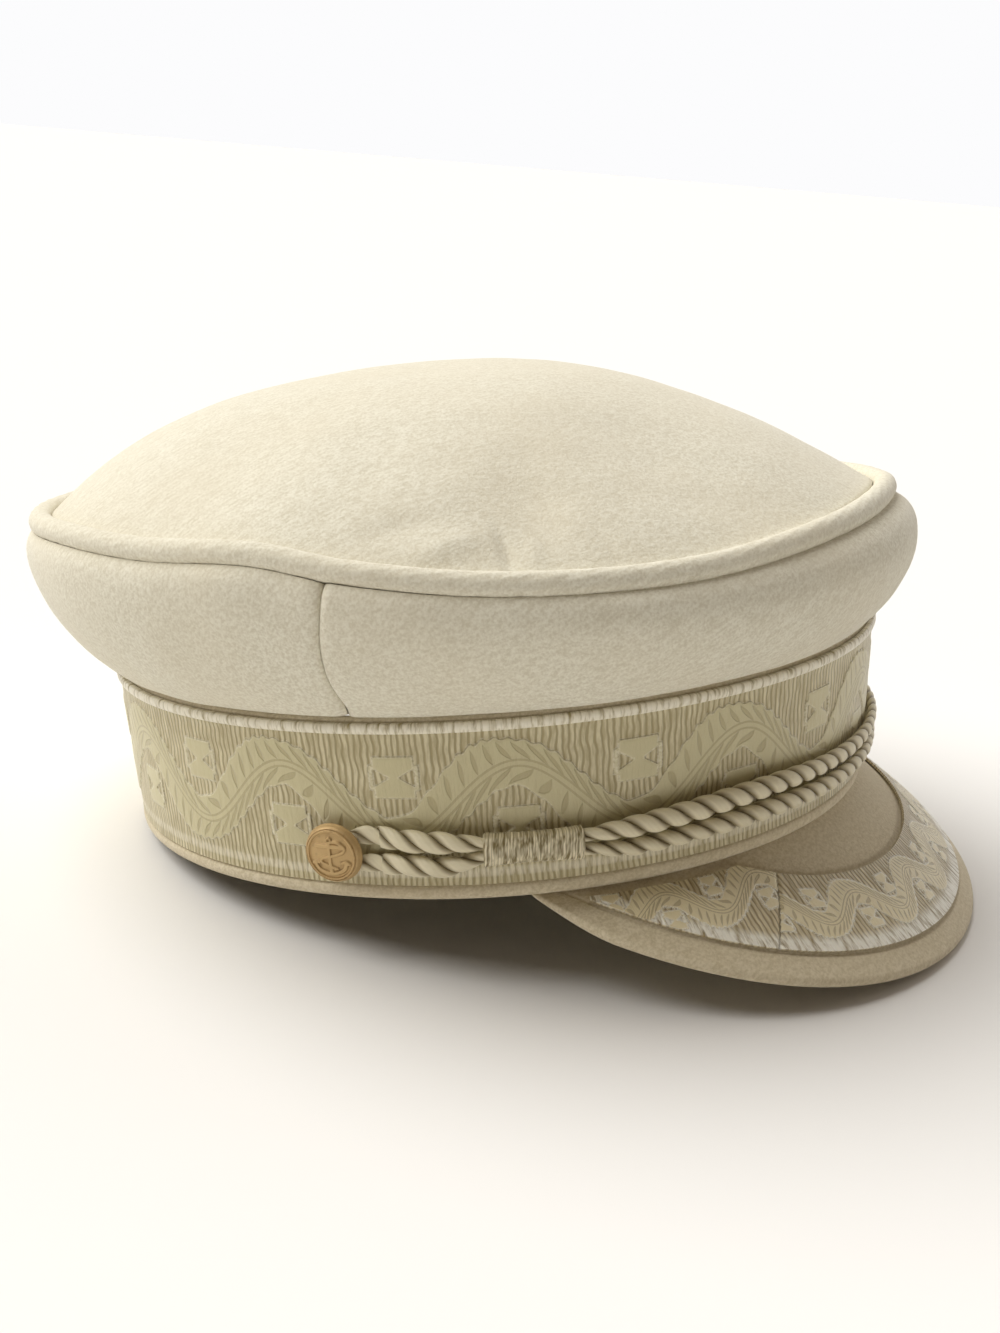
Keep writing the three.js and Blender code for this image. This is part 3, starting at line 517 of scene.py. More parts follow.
def vine_fields(along, up, swing=VINE_SWING, row_width=ROW_WIDTH):
    """The galloon's pattern at millimetres along and up it. The vine's stem is a cosine wave. A point's
    distance from it is measured across the wave. The rows of leaves end a little scalloped, and each
    gap between two leaves is a lens, at a foot on the stem that runs back with the distance. Gives
    the distance from the stem, the distance inside the vine and the boxes, and for the lenses the
    foot in leaves and the lens's half width there. A box is a wide and a high one laid over each
    other, less a bow tie in its middle."""
    phase = 2 * np.pi * along / VINE_PERIOD
    slope = -swing * 2 * np.pi / VINE_PERIOD * np.sin(phase)
    steepness = np.sqrt(1 + slope ** 2)
    stem = (up - VINE_MIDDLE - swing * np.cos(phase)) / steepness
    side = np.sign(stem)
    width = row_width - side * ROW_SWELL * np.sin(phase)
    lean = LEAF_LEAN + side * LEAF_LEAN_SWELL * np.sin(phase)
    grid = np.linspace(0, VINE_PERIOD, 400)
    grid_slope = swing * 2 * np.pi / VINE_PERIOD * np.sin(2 * np.pi * grid / VINE_PERIOD)
    run_steps = np.sqrt(1 + grid_slope ** 2)
    run_table = np.concatenate([[0], np.cumsum((run_steps[1:] + run_steps[:-1]) / 2 * np.diff(grid))])
    whole = np.floor(along / VINE_PERIOD)
    run = whole * run_table[-1] + np.interp(along - whole * VINE_PERIOD, grid, run_table)
    spacing = run_table[-1] / LEAVES_PER_PERIOD
    foot = (run + np.abs(stem) * lean) / spacing
    share = np.abs(stem) / width
    from_ends = (LEAF_GAP_TO - share) * (share - LEAF_GAP_FROM) / ((LEAF_GAP_TO - LEAF_GAP_FROM) / 2) ** 2
    lens = LEAF_GAP * from_ends * np.sqrt(1 + lean ** 2) / spacing
    tip_foot = (run + width * lean) / spacing
    inside = width + SCALLOP * np.cos(2 * np.pi * tip_foot) - np.abs(stem)
    half = VINE_PERIOD / 2
    box = np.full(along.shape, FAR_OUTSIDE)
    for shift, middle in ((half, BOX_UP), (0, BOX_LOW)):
        beside = np.mod(along - shift + half, VINE_PERIOD) - half
        over = up - middle
        across, tall = np.abs(beside), np.abs(over)
        wide = np.minimum(BOX_HALF_WIDTH - across, BOX_HALF_HEIGHT * BOX_SHOULDER - tall)
        high = np.minimum(BOX_HALF_WIDTH * BOX_NECK - across, BOX_HALF_HEIGHT - tall)
        bow_tie = np.minimum(BOW_TIE_SLOPE * (across - BOW_TIE_WAIST) - tall,
                             BOX_HALF_WIDTH - BOW_TIE_MARGIN - across)
        box = np.maximum(box, np.minimum(np.maximum(wide, high), -bow_tie))
    return stem, inside, box, foot, lens


def galloon(name, spacing, vine_tone, rib_tone, gap_tone, loose_and_highlight_tone):
    """Woven galloon of lustrous cotton and viscose. The raised pattern is smooth satin with a painted
    highlight along its edges, broken up by noise, and soft dark lines between the leaves. The ground is
    upright ribs at the spacing, each of its own brightness, and loose satin threads stand up where the
    attribute weave says. That attribute holds the millimetres along and up it and the share of loose
    threads, vine the distances from the stem, inside the vine and inside a box, and leaf the foot and
    half width of the gaps. So the scales of its noises are shares of a millimetre: fibres of 0.6 mm, and
    ribs that wander within 5.5 mm."""
    material, tree = new_material(name)
    where = add(tree, "Attribute", attribute_name="weave").outputs["Vector"]
    weave = add(tree, "SeparateXYZ", {0: where})
    vine = add(tree, "SeparateXYZ", {0: add(tree, "Attribute", attribute_name="vine").outputs["Vector"]})
    leaf = add(tree, "SeparateXYZ", {0: add(tree, "Attribute", attribute_name="leaf").outputs["Vector"]})
    inside = add(tree, "Math", {0: vine.outputs["Y"], 1: vine.outputs["Z"]}, operation="MAXIMUM")
    raised = add(tree, "MapRange", {"Value": inside.outputs[0], "From Min": -0.15, "From Max": 0.15},
                 interpolation_type="SMOOTHSTEP")
    upright = add(tree, "Mapping", {"Vector": where, "Scale": (1, 0.17, 0)})
    strand = add(tree, "TexNoise", {"Vector": upright.outputs[0], "Scale": 1.2 / spacing, "Detail": 3,
                                    "Roughness": 0.6})
    grain = add(tree, "TexNoise", {"Vector": where, "Scale": 1.7, "Detail": 2})
    # Painted highlight: a bright line in the loose threads' tone along the edges of the vine and the boxes,
    # broken up by noise.
    from_edge = add(tree, "Math", {0: inside.outputs[0], 1: 0.05}, operation="SUBTRACT")
    edge_off = add(tree, "Math", {0: from_edge.outputs[0]}, operation="ABSOLUTE")
    edge = add(tree, "MapRange", {"Value": edge_off.outputs[0], "From Min": 0.3 * spacing,
                                  "From Max": 0.13 * spacing})
    edge_highlight_breakup = add(tree, "MapRange", {"Value": grain.outputs["Fac"], "From Min": 0.35, "From Max": 0.6,
                                       "To Max": 0.36 * spacing})
    painted_edge_highlight = add(tree, "Math", {0: edge.outputs[0], 1: edge_highlight_breakup.outputs[0]}, operation="MULTIPLY")
    off_foot = add(tree, "Math", {0: leaf.outputs["X"], 1: 0.5}, operation="PINGPONG")
    in_lens = add(tree, "Math", {0: leaf.outputs["Y"], 1: off_foot.outputs[0]}, operation="SUBTRACT")
    gap = add(tree, "MapRange", {"Value": in_lens.outputs[0], "From Min": -0.04, "From Max": 0.04},
              interpolation_type="SMOOTHSTEP")
    from_stem = add(tree, "Math", {0: vine.outputs["X"]}, operation="ABSOLUTE")
    groove = add(tree, "Math", {0: from_stem.outputs[0], 1: 0.7, 2: 0.25}, operation="COMPARE")
    cut = add(tree, "Math", {0: gap.outputs["Result"], 1: groove.outputs[0]}, operation="MAXIMUM")
    in_vine = add(tree, "MapRange", {"Value": vine.outputs["Y"], "From Min": 0.2, "From Max": 0.6})
    cut_vine = add(tree, "Math", {0: cut.outputs[0], 1: in_vine.outputs["Result"]}, operation="MULTIPLY")
    wander = add(tree, "TexNoise", {"Vector": where, "Scale": 0.18, "Detail": 1})
    shifted = add(tree, "Math", {0: wander.outputs["Fac"], 1: 1.6, 2: weave.outputs["X"]},
                  operation="MULTIPLY_ADD")
    rib_turn = add(tree, "Math", {0: shifted.outputs[0], 1: 2 * math.pi / spacing}, operation="MULTIPLY")
    rib = add(tree, "Math", {0: rib_turn.outputs[0]}, operation="SINE")
    rib_light = add(tree, "MapRange", {"Value": rib.outputs[0], "From Min": -0.9, "From Max": 0.1})
    strand_light = add(tree, "MapRange", {"Value": strand.outputs["Fac"], "From Min": 0.36, "From Max": 0.62,
                                          "To Min": 0.35, "To Max": 1})
    rib_shine = add(tree, "Math", {0: rib_light.outputs[0], 1: strand_light.outputs[0]},
                    operation="MULTIPLY")
    ground = add(tree, "Mix", {0: rib_shine.outputs[0], 6: linear(gap_tone), 7: linear(rib_tone)},
                 data_type="RGBA")
    smooth = add(tree, "Mix", {0: grain.outputs["Fac"], 6: linear(vine_tone), 7: linear(rib_tone)},
                 data_type="RGBA")
    satin = add(tree, "Mix", {0: 0.8, 6: smooth.outputs[2], 7: linear(vine_tone)}, data_type="RGBA")
    pattern = add(tree, "Mix", {0: raised.outputs["Result"], 6: ground.outputs[2], 7: satin.outputs[2]},
                  data_type="RGBA")
    cut_mix = add(tree, "Math", {0: cut_vine.outputs[0], 1: 0.5}, operation="MULTIPLY")
    cut_tone = add(tree, "Mix", {0: cut_mix.outputs[0], 6: pattern.outputs[2], 7: linear(gap_tone)},
                   data_type="RGBA")
    edged = add(tree, "Mix", {0: painted_edge_highlight.outputs[0], 6: cut_tone.outputs[2], 7: linear(loose_and_highlight_tone)},
                data_type="RGBA")
    thread = add(tree, "MapRange", {"Value": strand.outputs["Fac"], "From Min": 0.32, "From Max": 0.52})
    loose = add(tree, "Mix", {0: thread.outputs["Result"], 6: linear(gap_tone), 7: linear(loose_and_highlight_tone)},
                data_type="RGBA")
    open_ground = add(tree, "Math", {0: 1, 1: raised.outputs["Result"]}, operation="SUBTRACT")
    loose_here = add(tree, "Math", {0: weave.outputs["Z"], 1: open_ground.outputs[0]}, operation="MULTIPLY")
    colour = add(tree, "Mix", {0: loose_here.outputs[0], 6: edged.outputs[2], 7: loose.outputs[2]},
                 data_type="RGBA")
    rib_high = add(tree, "Math", {0: rib_light.outputs[0], 1: open_ground.outputs[0]}, operation="MULTIPLY")
    stepped = add(tree, "Math", {0: raised.outputs["Result"], 1: 0.9, 2: strand.outputs["Fac"]},
                  operation="MULTIPLY_ADD")
    ribbed = add(tree, "Math", {0: rib_high.outputs[0], 1: 0.35, 2: stepped.outputs[0]},
                 operation="MULTIPLY_ADD")
    height = add(tree, "Math", {0: cut_vine.outputs[0], 1: -0.5, 2: ribbed.outputs[0]},
                 operation="MULTIPLY_ADD")
    bump = add(tree, "Bump", {"Height": height.outputs[0], "Strength": 0.8, "Distance": 0.0004})
    rough = add(tree, "MapRange", {"Value": thread.outputs["Result"], "To Min": 0.5, "To Max": 0.36})
    shader = add(tree, "BsdfPrincipled", {
        "Base Color": colour.outputs[2], "Normal": bump.outputs["Normal"],
        "Roughness": rough.outputs["Result"], "IOR": 1.53, "Specular IOR Level": 0.5,
        "Sheen Weight": 0.2, "Sheen Roughness": 0.35})
    add(tree, "OutputMaterial", {"Surface": shader.outputs[0]})
    return material


BAND_GALLOON = galloon("cream satin galloon", 1.35, "#CFC69C", "#DED4AF", "#A99B70", "#F6F0DC")

# Loose bright threads: the wrapped rib along the top, whose bright tone is partly painted highlight,
# and a row of loops over the lower selvage
LOOPS_FROM = 5.2
LOOPS_TO = 7.8
LOOPS_SHARE = 0.5
PATTERN_RAISE = 0.3
PATTERN_EDGE = 0.6
GROUND_SINK = 0.12
SELVAGE_WIDTH = 1.5
BRAID_END_ANGLE = 179.9

rib_turn = np.linspace(0, np.pi, 9)
rib_foot = BRAID_HEAD - RIB_HEIGHT
face_up = np.linspace(BRAID_FOOT, rib_foot, BRAID_RISE_STEPS)
rib_up = rib_foot + RIB_HEIGHT / 2 * (1 - np.cos(rib_turn[1:]))
rib_out = RIB_RAISE * np.sin(rib_turn[1:])
braid_up = np.concatenate([face_up, rib_up, [BRAID_HEAD, BRAID_FOOT]])
braid_out = np.concatenate([np.zeros(BRAID_RISE_STEPS), rib_out, [-BRAID_THICK, -BRAID_THICK]])
braid_angle = np.linspace(-BRAID_END_ANGLE, BRAID_END_ANGLE, BRAID_STEPS)
braid_along = (VINE_CREST_ANGLE - braid_angle)[:, None] * VINE_MM_PER_DEGREE + 0 * braid_up
braid_height = braid_up[None, :] + 0 * braid_along
stem, inside, box, foot, lens = vine_fields(braid_along, braid_height)
on_face = (np.arange(len(braid_up)) < BRAID_RISE_STEPS)[None, :]
pattern = np.clip(np.maximum(inside, box) / PATTERN_EDGE + 0.5, 0, 1)
pattern = pattern * pattern * (3 - 2 * pattern) * on_face
from_selvage = np.minimum(braid_height - BRAID_FOOT, rib_foot - braid_height)
fade = np.clip(from_selvage / SELVAGE_WIDTH, 0, 1) * on_face
braid_lift = PATTERN_RAISE * pattern * fade - GROUND_SINK * fade
braid_points = place(braid_angle[:, None], BRAID_FACE + braid_out[None, :] + braid_lift, braid_height)
loops = np.clip((braid_height - LOOPS_FROM) / 0.5, 0, 1) * np.clip((LOOPS_TO - braid_height) / 0.8, 0, 1)
# The rib gets the loose threads' full share: its bright tone is partly painted highlight.
braid_loose_and_rib_highlight = np.where(on_face, LOOPS_SHARE * loops, 1)
braid_fields = {
    "weave": np.stack([braid_along, braid_height, braid_loose_and_rib_highlight], axis=-1),
    "vine": np.stack([stem, np.where(on_face, inside, FAR_OUTSIDE),
                      np.where(on_face, box, FAR_OUTSIDE)], axis=-1),
    "leaf": np.stack([foot, lens, 0 * lens], axis=-1),
}
band_galloon = ring_mesh("band_galloon", braid_points, fields=braid_fields)
band_galloon.data.materials.append(BAND_GALLOON)
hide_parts("band_braid")
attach(band_galloon, "root")

# Twisted cords: two ropes of two strands of silky yarn, laid one over the other across the front and
# drawn together at the keepers. Their ends are pressed flat under the buttons.
CORD_RADIUS = 2.65
BUTTON_UP = 12.5
BUTTON_ANGLE = 95.8
BUTTON_DIAMETER = 14
BUTTON_BACK_HEIGHT = 2.8
UNDER_BUTTON_ANGLE = BUTTON_ANGLE - math.degrees((BUTTON_DIAMETER / 2 + CORD_RADIUS) / HEAD_HALF_WIDTH)
CORD_LAY = (11.3, 13.2)
CORD_LAY_ANGLE = (60, 78)
STRANDS = 2
STRAND_FOOT = 0.48
STRAND_POWER = 2.0
STRAND_ROUND = 24
YARN_LINES = 4.5
YARN_FUZZ_SIZE = 2 / 3
CORD_STEPS = 900

# The cords from the front to a button: angle, height of the middle over the button's middle, space to
# the braid, and the section's half height and half depth, as shares of the cord's radius
CORD_RUN_UPPER = [
    (0, 0.88, 0.05, 0.86, 0.5), (22, 1.12, 0.1, 0.88, 0.62), (34, 1.5, 0.2, 0.95, 0.88),
    (42, 1.53, 0.3, 1, 1), (50, 1.22, 0.35, 1, 1), (58, 0.9, 0.4, 0.9, 1), (64.5, 0.75, 0.5, 0.5, 0.8),
    (75.5, 0.82, 0.5, 0.5, 0.8), (80.5, 1, 0.35, 0.92, 1), (86, 1.16, 0.2, 1, 0.9),
    (91, 1.42, 0.1, 0.92, 0.48), (94, 1.25, 0.1, 0.5, 0.36),
]
CORD_RUN_LOWER = [
    (0, -1.18, 0.05, 0.82, 0.5), (22, -1.05, 0.08, 0.86, 0.62), (34, -0.69, 0.12, 0.92, 0.88),
    (42, -0.64, 0.12, 0.92, 1), (50, -0.78, 0.12, 0.84, 1), (58, -0.92, 0.2, 0.76, 1),
    (64.5, -0.36, 0.5, 0.5, 0.8), (75.5, -0.29, 0.5, 0.5, 0.8), (80.5, -1.08, 0.35, 0.86, 1),
    (86, -1.03, 0.2, 0.95, 0.9), (91, -1.1, 0.1, 0.88, 0.48), (94, -1.25, 0.1, 0.5, 0.36),
]


def cord_section(run, angle):
    """Middle and half sizes of a cord's oval at each angle, in millimetres, as out, up, tall and deep."""
    over, stand, tall, thick = (CORD_RADIUS * through(run, column, np.abs(angle), False)
                                for column in (1, 2, 3, 4))
    room = (BUTTON_BACK_HEIGHT - CLEARANCE - stand) / 2
    deep = np.where(np.abs(angle) > UNDER_BUTTON_ANGLE, np.minimum(thick, room), thick)
    return BRAID_FACE + CLEARANCE + stand + deep, BUTTON_UP + over, tall, deep


def silky_yarn(name, light, dark):
    """Plied rayon yarn: satin with fine lines along each strand, lighter on the crowns of the strands and
    darker towards the grooves as painted shade. The attribute strand holds the place across a strand,
    from -1 to 1."""
    material, tree = new_material(name)
    strand = add(tree, "Attribute", attribute_name="strand").outputs["Fac"]
    across = add(tree, "Math", {0: strand, 1: 2 * math.pi * YARN_LINES / 2}, operation="MULTIPLY")
    line = add(tree, "Math", {0: across.outputs[0]}, operation="SINE")
    where = add(tree, "TexCoord").outputs["Object"]
    fuzz = add(tree, "TexNoise", {"Vector": where, "Scale": 1000 / YARN_FUZZ_SIZE, "Detail": 3})
    # Painted shade: the colour darkens from the crown of each strand to the grooves between strands.
    edge = add(tree, "Math", {0: strand}, operation="ABSOLUTE")
    crown = add(tree, "MapRange", {"Value": edge.outputs[0], "From Min": 1.02, "From Max": 0.4},
                interpolation_type="SMOOTHSTEP")
    colour = add(tree, "Mix", {0: crown.outputs["Result"], 6: linear(dark), 7: linear(light)},
                 data_type="RGBA")
    height = add(tree, "Math", {0: line.outputs[0], 1: 0.5, 2: fuzz.outputs["Fac"]},
                 operation="MULTIPLY_ADD")
    bump = add(tree, "Bump", {"Height": height.outputs[0], "Strength": 0.35, "Distance": 0.00015})
    shader = add(tree, "BsdfPrincipled", {
        "Base Color": colour.outputs[2], "Normal": bump.outputs["Normal"], "Roughness": 0.5,
        "IOR": 1.53, "Sheen Weight": 0.3, "Sheen Roughness": 0.4})
    add(tree, "OutputMaterial", {"Surface": shader.outputs[0]})
    return material


# The dark tone is painted shade in the grooves between the strands.
YARN = silky_yarn("cream rayon yarn with painted groove shade", "#E4DBBC", "#80704A")


def twisted_cord(name, run, start):
    """A rope of two plump strands along a table's route. Round its middle the radius falls from the
    crown of a strand to the groove as a superellipse does, turns with the length by the lay, and is
    scaled to the oval's half sizes. The columns of the mesh follow the strands and lie closest in the
    grooves."""
    end = run[-1][0]
    angle = np.linspace(-end, end, CORD_STEPS)
    out, up, tall, deep = cord_section(run, angle)
    middle = place(angle, out, up)
    step = np.concatenate([[0], np.linalg.norm(np.diff(middle, axis=0), axis=1)])
    twist = start + np.cumsum(360 * step / np.interp(np.abs(angle), CORD_LAY_ANGLE, CORD_LAY))
    half_lobe = 180 / STRANDS
    off = half_lobe * np.sin(np.pi / 2 * np.linspace(-1, 1, STRAND_ROUND, endpoint=False))
    off = np.tile(off, STRANDS)[None, :]
    strand_turn = np.repeat(np.arange(STRANDS) * 2 * half_lobe, STRAND_ROUND)[None, :]
    turn = np.radians(twist[:, None] + strand_turn + off)
    bulge = STRAND_FOOT + (1 - STRAND_FOOT) * np.sqrt(1 - np.abs(off / half_lobe) ** STRAND_POWER)
    points = place(angle[:, None], out[:, None] + bulge * deep[:, None] * np.cos(turn),
                   up[:, None] + bulge * tall[:, None] * np.sin(turn))
    piece = ring_mesh(name, points, fields={"strand": off / half_lobe + 0 * turn})
    piece.data.materials.append(YARN)
    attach(piece, "root")
    return piece


cord_upper_strands = twisted_cord("cord_upper_strands", CORD_RUN_UPPER, 20)
cord_lower_strands = twisted_cord("cord_lower_strands", CORD_RUN_LOWER, 75)
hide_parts("cord_upper")
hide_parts("cord_lower")

# Keepers: satin thread wound tightly round both cords at each temple, which draws them together. Its
# turns lie side by side at a slight slant, some over their neighbours.
KEEPER_FROM_ANGLE = 63.8
KEEPER_TO_ANGLE = 76.2
KEEPER_WALL = 0.5
KEEPER_POWER = 0.75
KEEPER_STEPS = 190
KEEPER_ROUND = 64
THREAD_SPACING = 0.62
THREAD_BULGE = 0.16
THREAD_SLANT = 0.5
THREAD_WANDER = 0.6
THREAD_WANDER_SIZE = 3.5
KEEPER_END_ROUND = 0.5


def wound_thread(name, light, dark):
    """Wound satin thread: each turn of its own brightness, which changes a little along it, with a dark
    line between neighbouring turns. The attribute wrap holds the turns along the keeper and the place
    round it."""
    material, tree = new_material(name)
    where = add(tree, "Attribute", attribute_name="wrap").outputs["Vector"]
    wrap = add(tree, "SeparateXYZ", {0: where})
    off = add(tree, "Math", {0: wrap.outputs["X"], 1: 0.5}, operation="PINGPONG")
    crown = add(tree, "MapRange", {"Value": off.outputs[0], "From Min": 0.0, "From Max": 0.22,
                                   "To Min": 0.35})
    streak = add(tree, "TexNoise", {"Vector": where, "Scale": 0.75, "Detail": 2, "Roughness": 0.7})
    shine = add(tree, "MapRange", {"Value": streak.outputs["Fac"], "From Min": 0.38, "From Max": 0.6})
    tone = add(tree, "Math", {0: shine.outputs[0], 1: crown.outputs[0]}, operation="MULTIPLY")
    colour = add(tree, "Mix", {0: tone.outputs[0], 6: linear(dark), 7: linear(light)}, data_type="RGBA")
    bump = add(tree, "Bump", {"Height": streak.outputs["Fac"], "Strength": 0.5, "Distance": 0.0002})
    shader = add(tree, "BsdfPrincipled", {
        "Base Color": colour.outputs[2], "Normal": bump.outputs["Normal"], "Roughness": 0.36,
        "IOR": 1.53, "Sheen Weight": 0.2, "Sheen Roughness": 0.3})
    add(tree, "OutputMaterial", {"Surface": shader.outputs[0]})
    return material


THREAD = wound_thread("cream satin thread", "#E9DFC0", "#7E7048")


def keeper(name, side, node):
    """A sleeve round both cords. Its section is a rounded box, the sine and cosine raised to a power,
    outside the cords' common height and depth. Along it the outer face is a row of thread turns, each
    a half sine wave of its own thickness."""
    share = np.linspace(0, 1, KEEPER_STEPS)
    angle = side * (KEEPER_FROM_ANGLE + (KEEPER_TO_ANGLE - KEEPER_FROM_ANGLE) * share)
    upper_out, upper_up, upper_tall, upper_deep = cord_section(CORD_RUN_UPPER, angle)
    lower_out, lower_up, lower_tall, _ = cord_section(CORD_RUN_LOWER, angle)
    tall = (upper_up + upper_tall - lower_up + lower_tall) / 2
    out = (upper_out + lower_out) / 2
    up = lower_up - lower_tall + tall
    turn = np.radians(np.linspace(0, 360, KEEPER_ROUND, endpoint=False))
    across = np.sign(np.cos(turn)) * np.abs(np.cos(turn)) ** KEEPER_POWER
    over = np.sign(np.sin(turn)) * np.abs(np.sin(turn)) ** KEEPER_POWER
    length = (KEEPER_TO_ANGLE - KEEPER_FROM_ANGLE) * math.radians(HEAD_FRONT)
    slant = THREAD_SLANT * np.sin(turn)[None, :] * side
    wander = THREAD_WANDER * soft_noise(place(angle, out, up), THREAD_WANDER_SIZE, 21)[:, None]
    turns = share[:, None] * length / THREAD_SPACING + slant + wander
    thickness = 0.7 + 0.5 * np.sin(2.3 * np.floor(turns))
    thread = THREAD_BULGE * thickness * np.abs(np.sin(np.pi * turns))
    from_end = np.clip(np.minimum(share, 1 - share) * length / KEEPER_END_ROUND, 0, 1)
    end_round = np.sqrt(1 - (1 - from_end) ** 2)[:, None]
    outside = CLEARANCE + (KEEPER_WALL + thread) * end_round
    inside = CLEARANCE + 0 * outside
    faces = []
    for grow in (outside, inside):
        faces.append(place(angle[:, None], out[:, None] + (upper_deep[:, None] + grow) * across,
                           up[:, None] + (tall[:, None] + grow) * over))
    rings = np.concatenate([faces[0], faces[1][::-1]])
    wrap = np.concatenate([turns, turns[::-1]])
    round_way = 1.2 * np.sin(turn)[None, :] + 0 * wrap
    fields = {"wrap": np.stack([wrap, round_way, 0 * wrap], axis=-1)}
    piece = ring_mesh(name, rings, joined=True, fields=fields)
    piece.data.materials.append(THREAD)
    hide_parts(node)
    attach(piece, "root")


keeper("keeper_thread_right", 1, "keeper_right")
keeper("keeper_thread_left", -1, "keeper_left")

# Buttons: cast domes of matt antique gold on a shank, with a raised rim, and on the face an anchor with
# its rope.
BUTTON_RADIUS = BUTTON_DIAMETER / 2
SHANK_RADIUS = 1.6
BUTTON_EDGE_HEIGHT = 1.9
BUTTON_RIM_HEIGHT = 0.35
BUTTON_DOME_HEIGHT = 0.7
BUTTON_BACK_RADIUS = 5.6
BUTTON_EDGE_ROUND = 0.45
BUTTON_RIM_RADIUS = 5.72
BUTTON_RIM_HALF_WIDTH = 0.3
BUTTON_DOME_RADIUS = 5.8
BUTTON_DOME_SINK = 0.12
BUTTON_ROUND = 168
CAST_GRAIN_SIZE = 1.43
ANCHOR_HALF_HEIGHT = 4.6
RELIEF_HEIGHT = 0.45
RELIEF_WIDTH = 0.85
RELIEF_EDGE = 0.28
PATINA_EDGE = 2.2

# Anchor and rope in shares of the anchor's half height: lines through points, each with its width
ANCHOR_LINES = [
    (1.0, [(0, 0.64), (0, 0.1), (0, -0.4), (0, -0.9)]),
    (1.1, [(-0.74, 0.5), (-0.3, 0.5), (0.3, 0.48), (0.76, 0.45)]),
    (0.6, [(0, 0.66), (0.13, 0.78), (0, 0.92), (-0.13, 0.78), (0, 0.66)]),
    (1.1, [(-0.86, -0.34), (-0.68, -0.7), (-0.3, -0.9), (0, -0.95), (0.3, -0.9), (0.68, -0.7),
           (0.86, -0.34)]),
    (0.9, [(-0.98, -0.42), (-0.84, -0.3), (-0.62, -0.36)]),
    (0.9, [(0.98, -0.42), (0.84, -0.3), (0.62, -0.36)]),
    (0.85, [(0.1, 0.72), (0.5, 0.68), (0.8, 0.4), (0.62, 0.16), (0, -0.03), (-0.42, -0.14), (-0.48, -0.32),
            (-0.2, -0.47), (0.1, -0.58), (0.34, -0.66)]),
]


def anchor_relief(x, y):
    """How far inside the anchor's and the rope's lines each point lies, in millimetres: half the line's
    width less the distance to the nearest point of its route."""
    inside = np.full(x.shape, FAR_OUTSIDE)
    for width, points in ANCHOR_LINES:
        rows = [(number, *point) for number, point in enumerate(points)]
        step = np.linspace(0, len(rows) - 1, 90)
        route_x, route_y = (ANCHOR_HALF_HEIGHT * through(rows, column, step, False) for column in (1, 2))
        far = np.hypot(x[..., None] - route_x, y[..., None] - route_y).min(axis=-1)
        inside = np.maximum(inside, RELIEF_WIDTH / 2 * width - far)
    return inside


def antique_gold(name, light, dark):
    """Cast white metal with a matt antique gold finish, brown where the patina stays beside the relief.
    The attribute raised is 1 where the metal is clean and 0 where the patina is full."""
    material, tree = new_material(name)
    raised = add(tree, "Attribute", attribute_name="raised").outputs["Fac"]
    where = add(tree, "TexCoord").outputs["Object"]
    grain = add(tree, "TexNoise", {"Vector": where, "Scale": 1000 / CAST_GRAIN_SIZE, "Detail": 4})
    worn = add(tree, "Math", {0: raised, 1: grain.outputs["Fac"]}, operation="MULTIPLY")
    tone = add(tree, "MapRange", {"Value": worn.outputs[0], "From Min": 0.0, "From Max": 0.42,
                                  "To Min": 0.2, "To Max": 1})
    colour = add(tree, "Mix", {0: tone.outputs["Result"], 6: linear(dark), 7: linear(light)},
                 data_type="RGBA")
    bump = add(tree, "Bump", {"Height": grain.outputs["Fac"], "Strength": 0.25, "Distance": 0.0001})
    shader = add(tree, "BsdfPrincipled", {
        "Base Color": colour.outputs[2], "Normal": bump.outputs["Normal"], "Metallic": 0.4,
        "Roughness": 0.5})
    add(tree, "OutputMaterial", {"Surface": shader.outputs[0]})
    return material


GOLD = antique_gold("antique gold cast metal", "#C8AA78", "#7E5F3A")


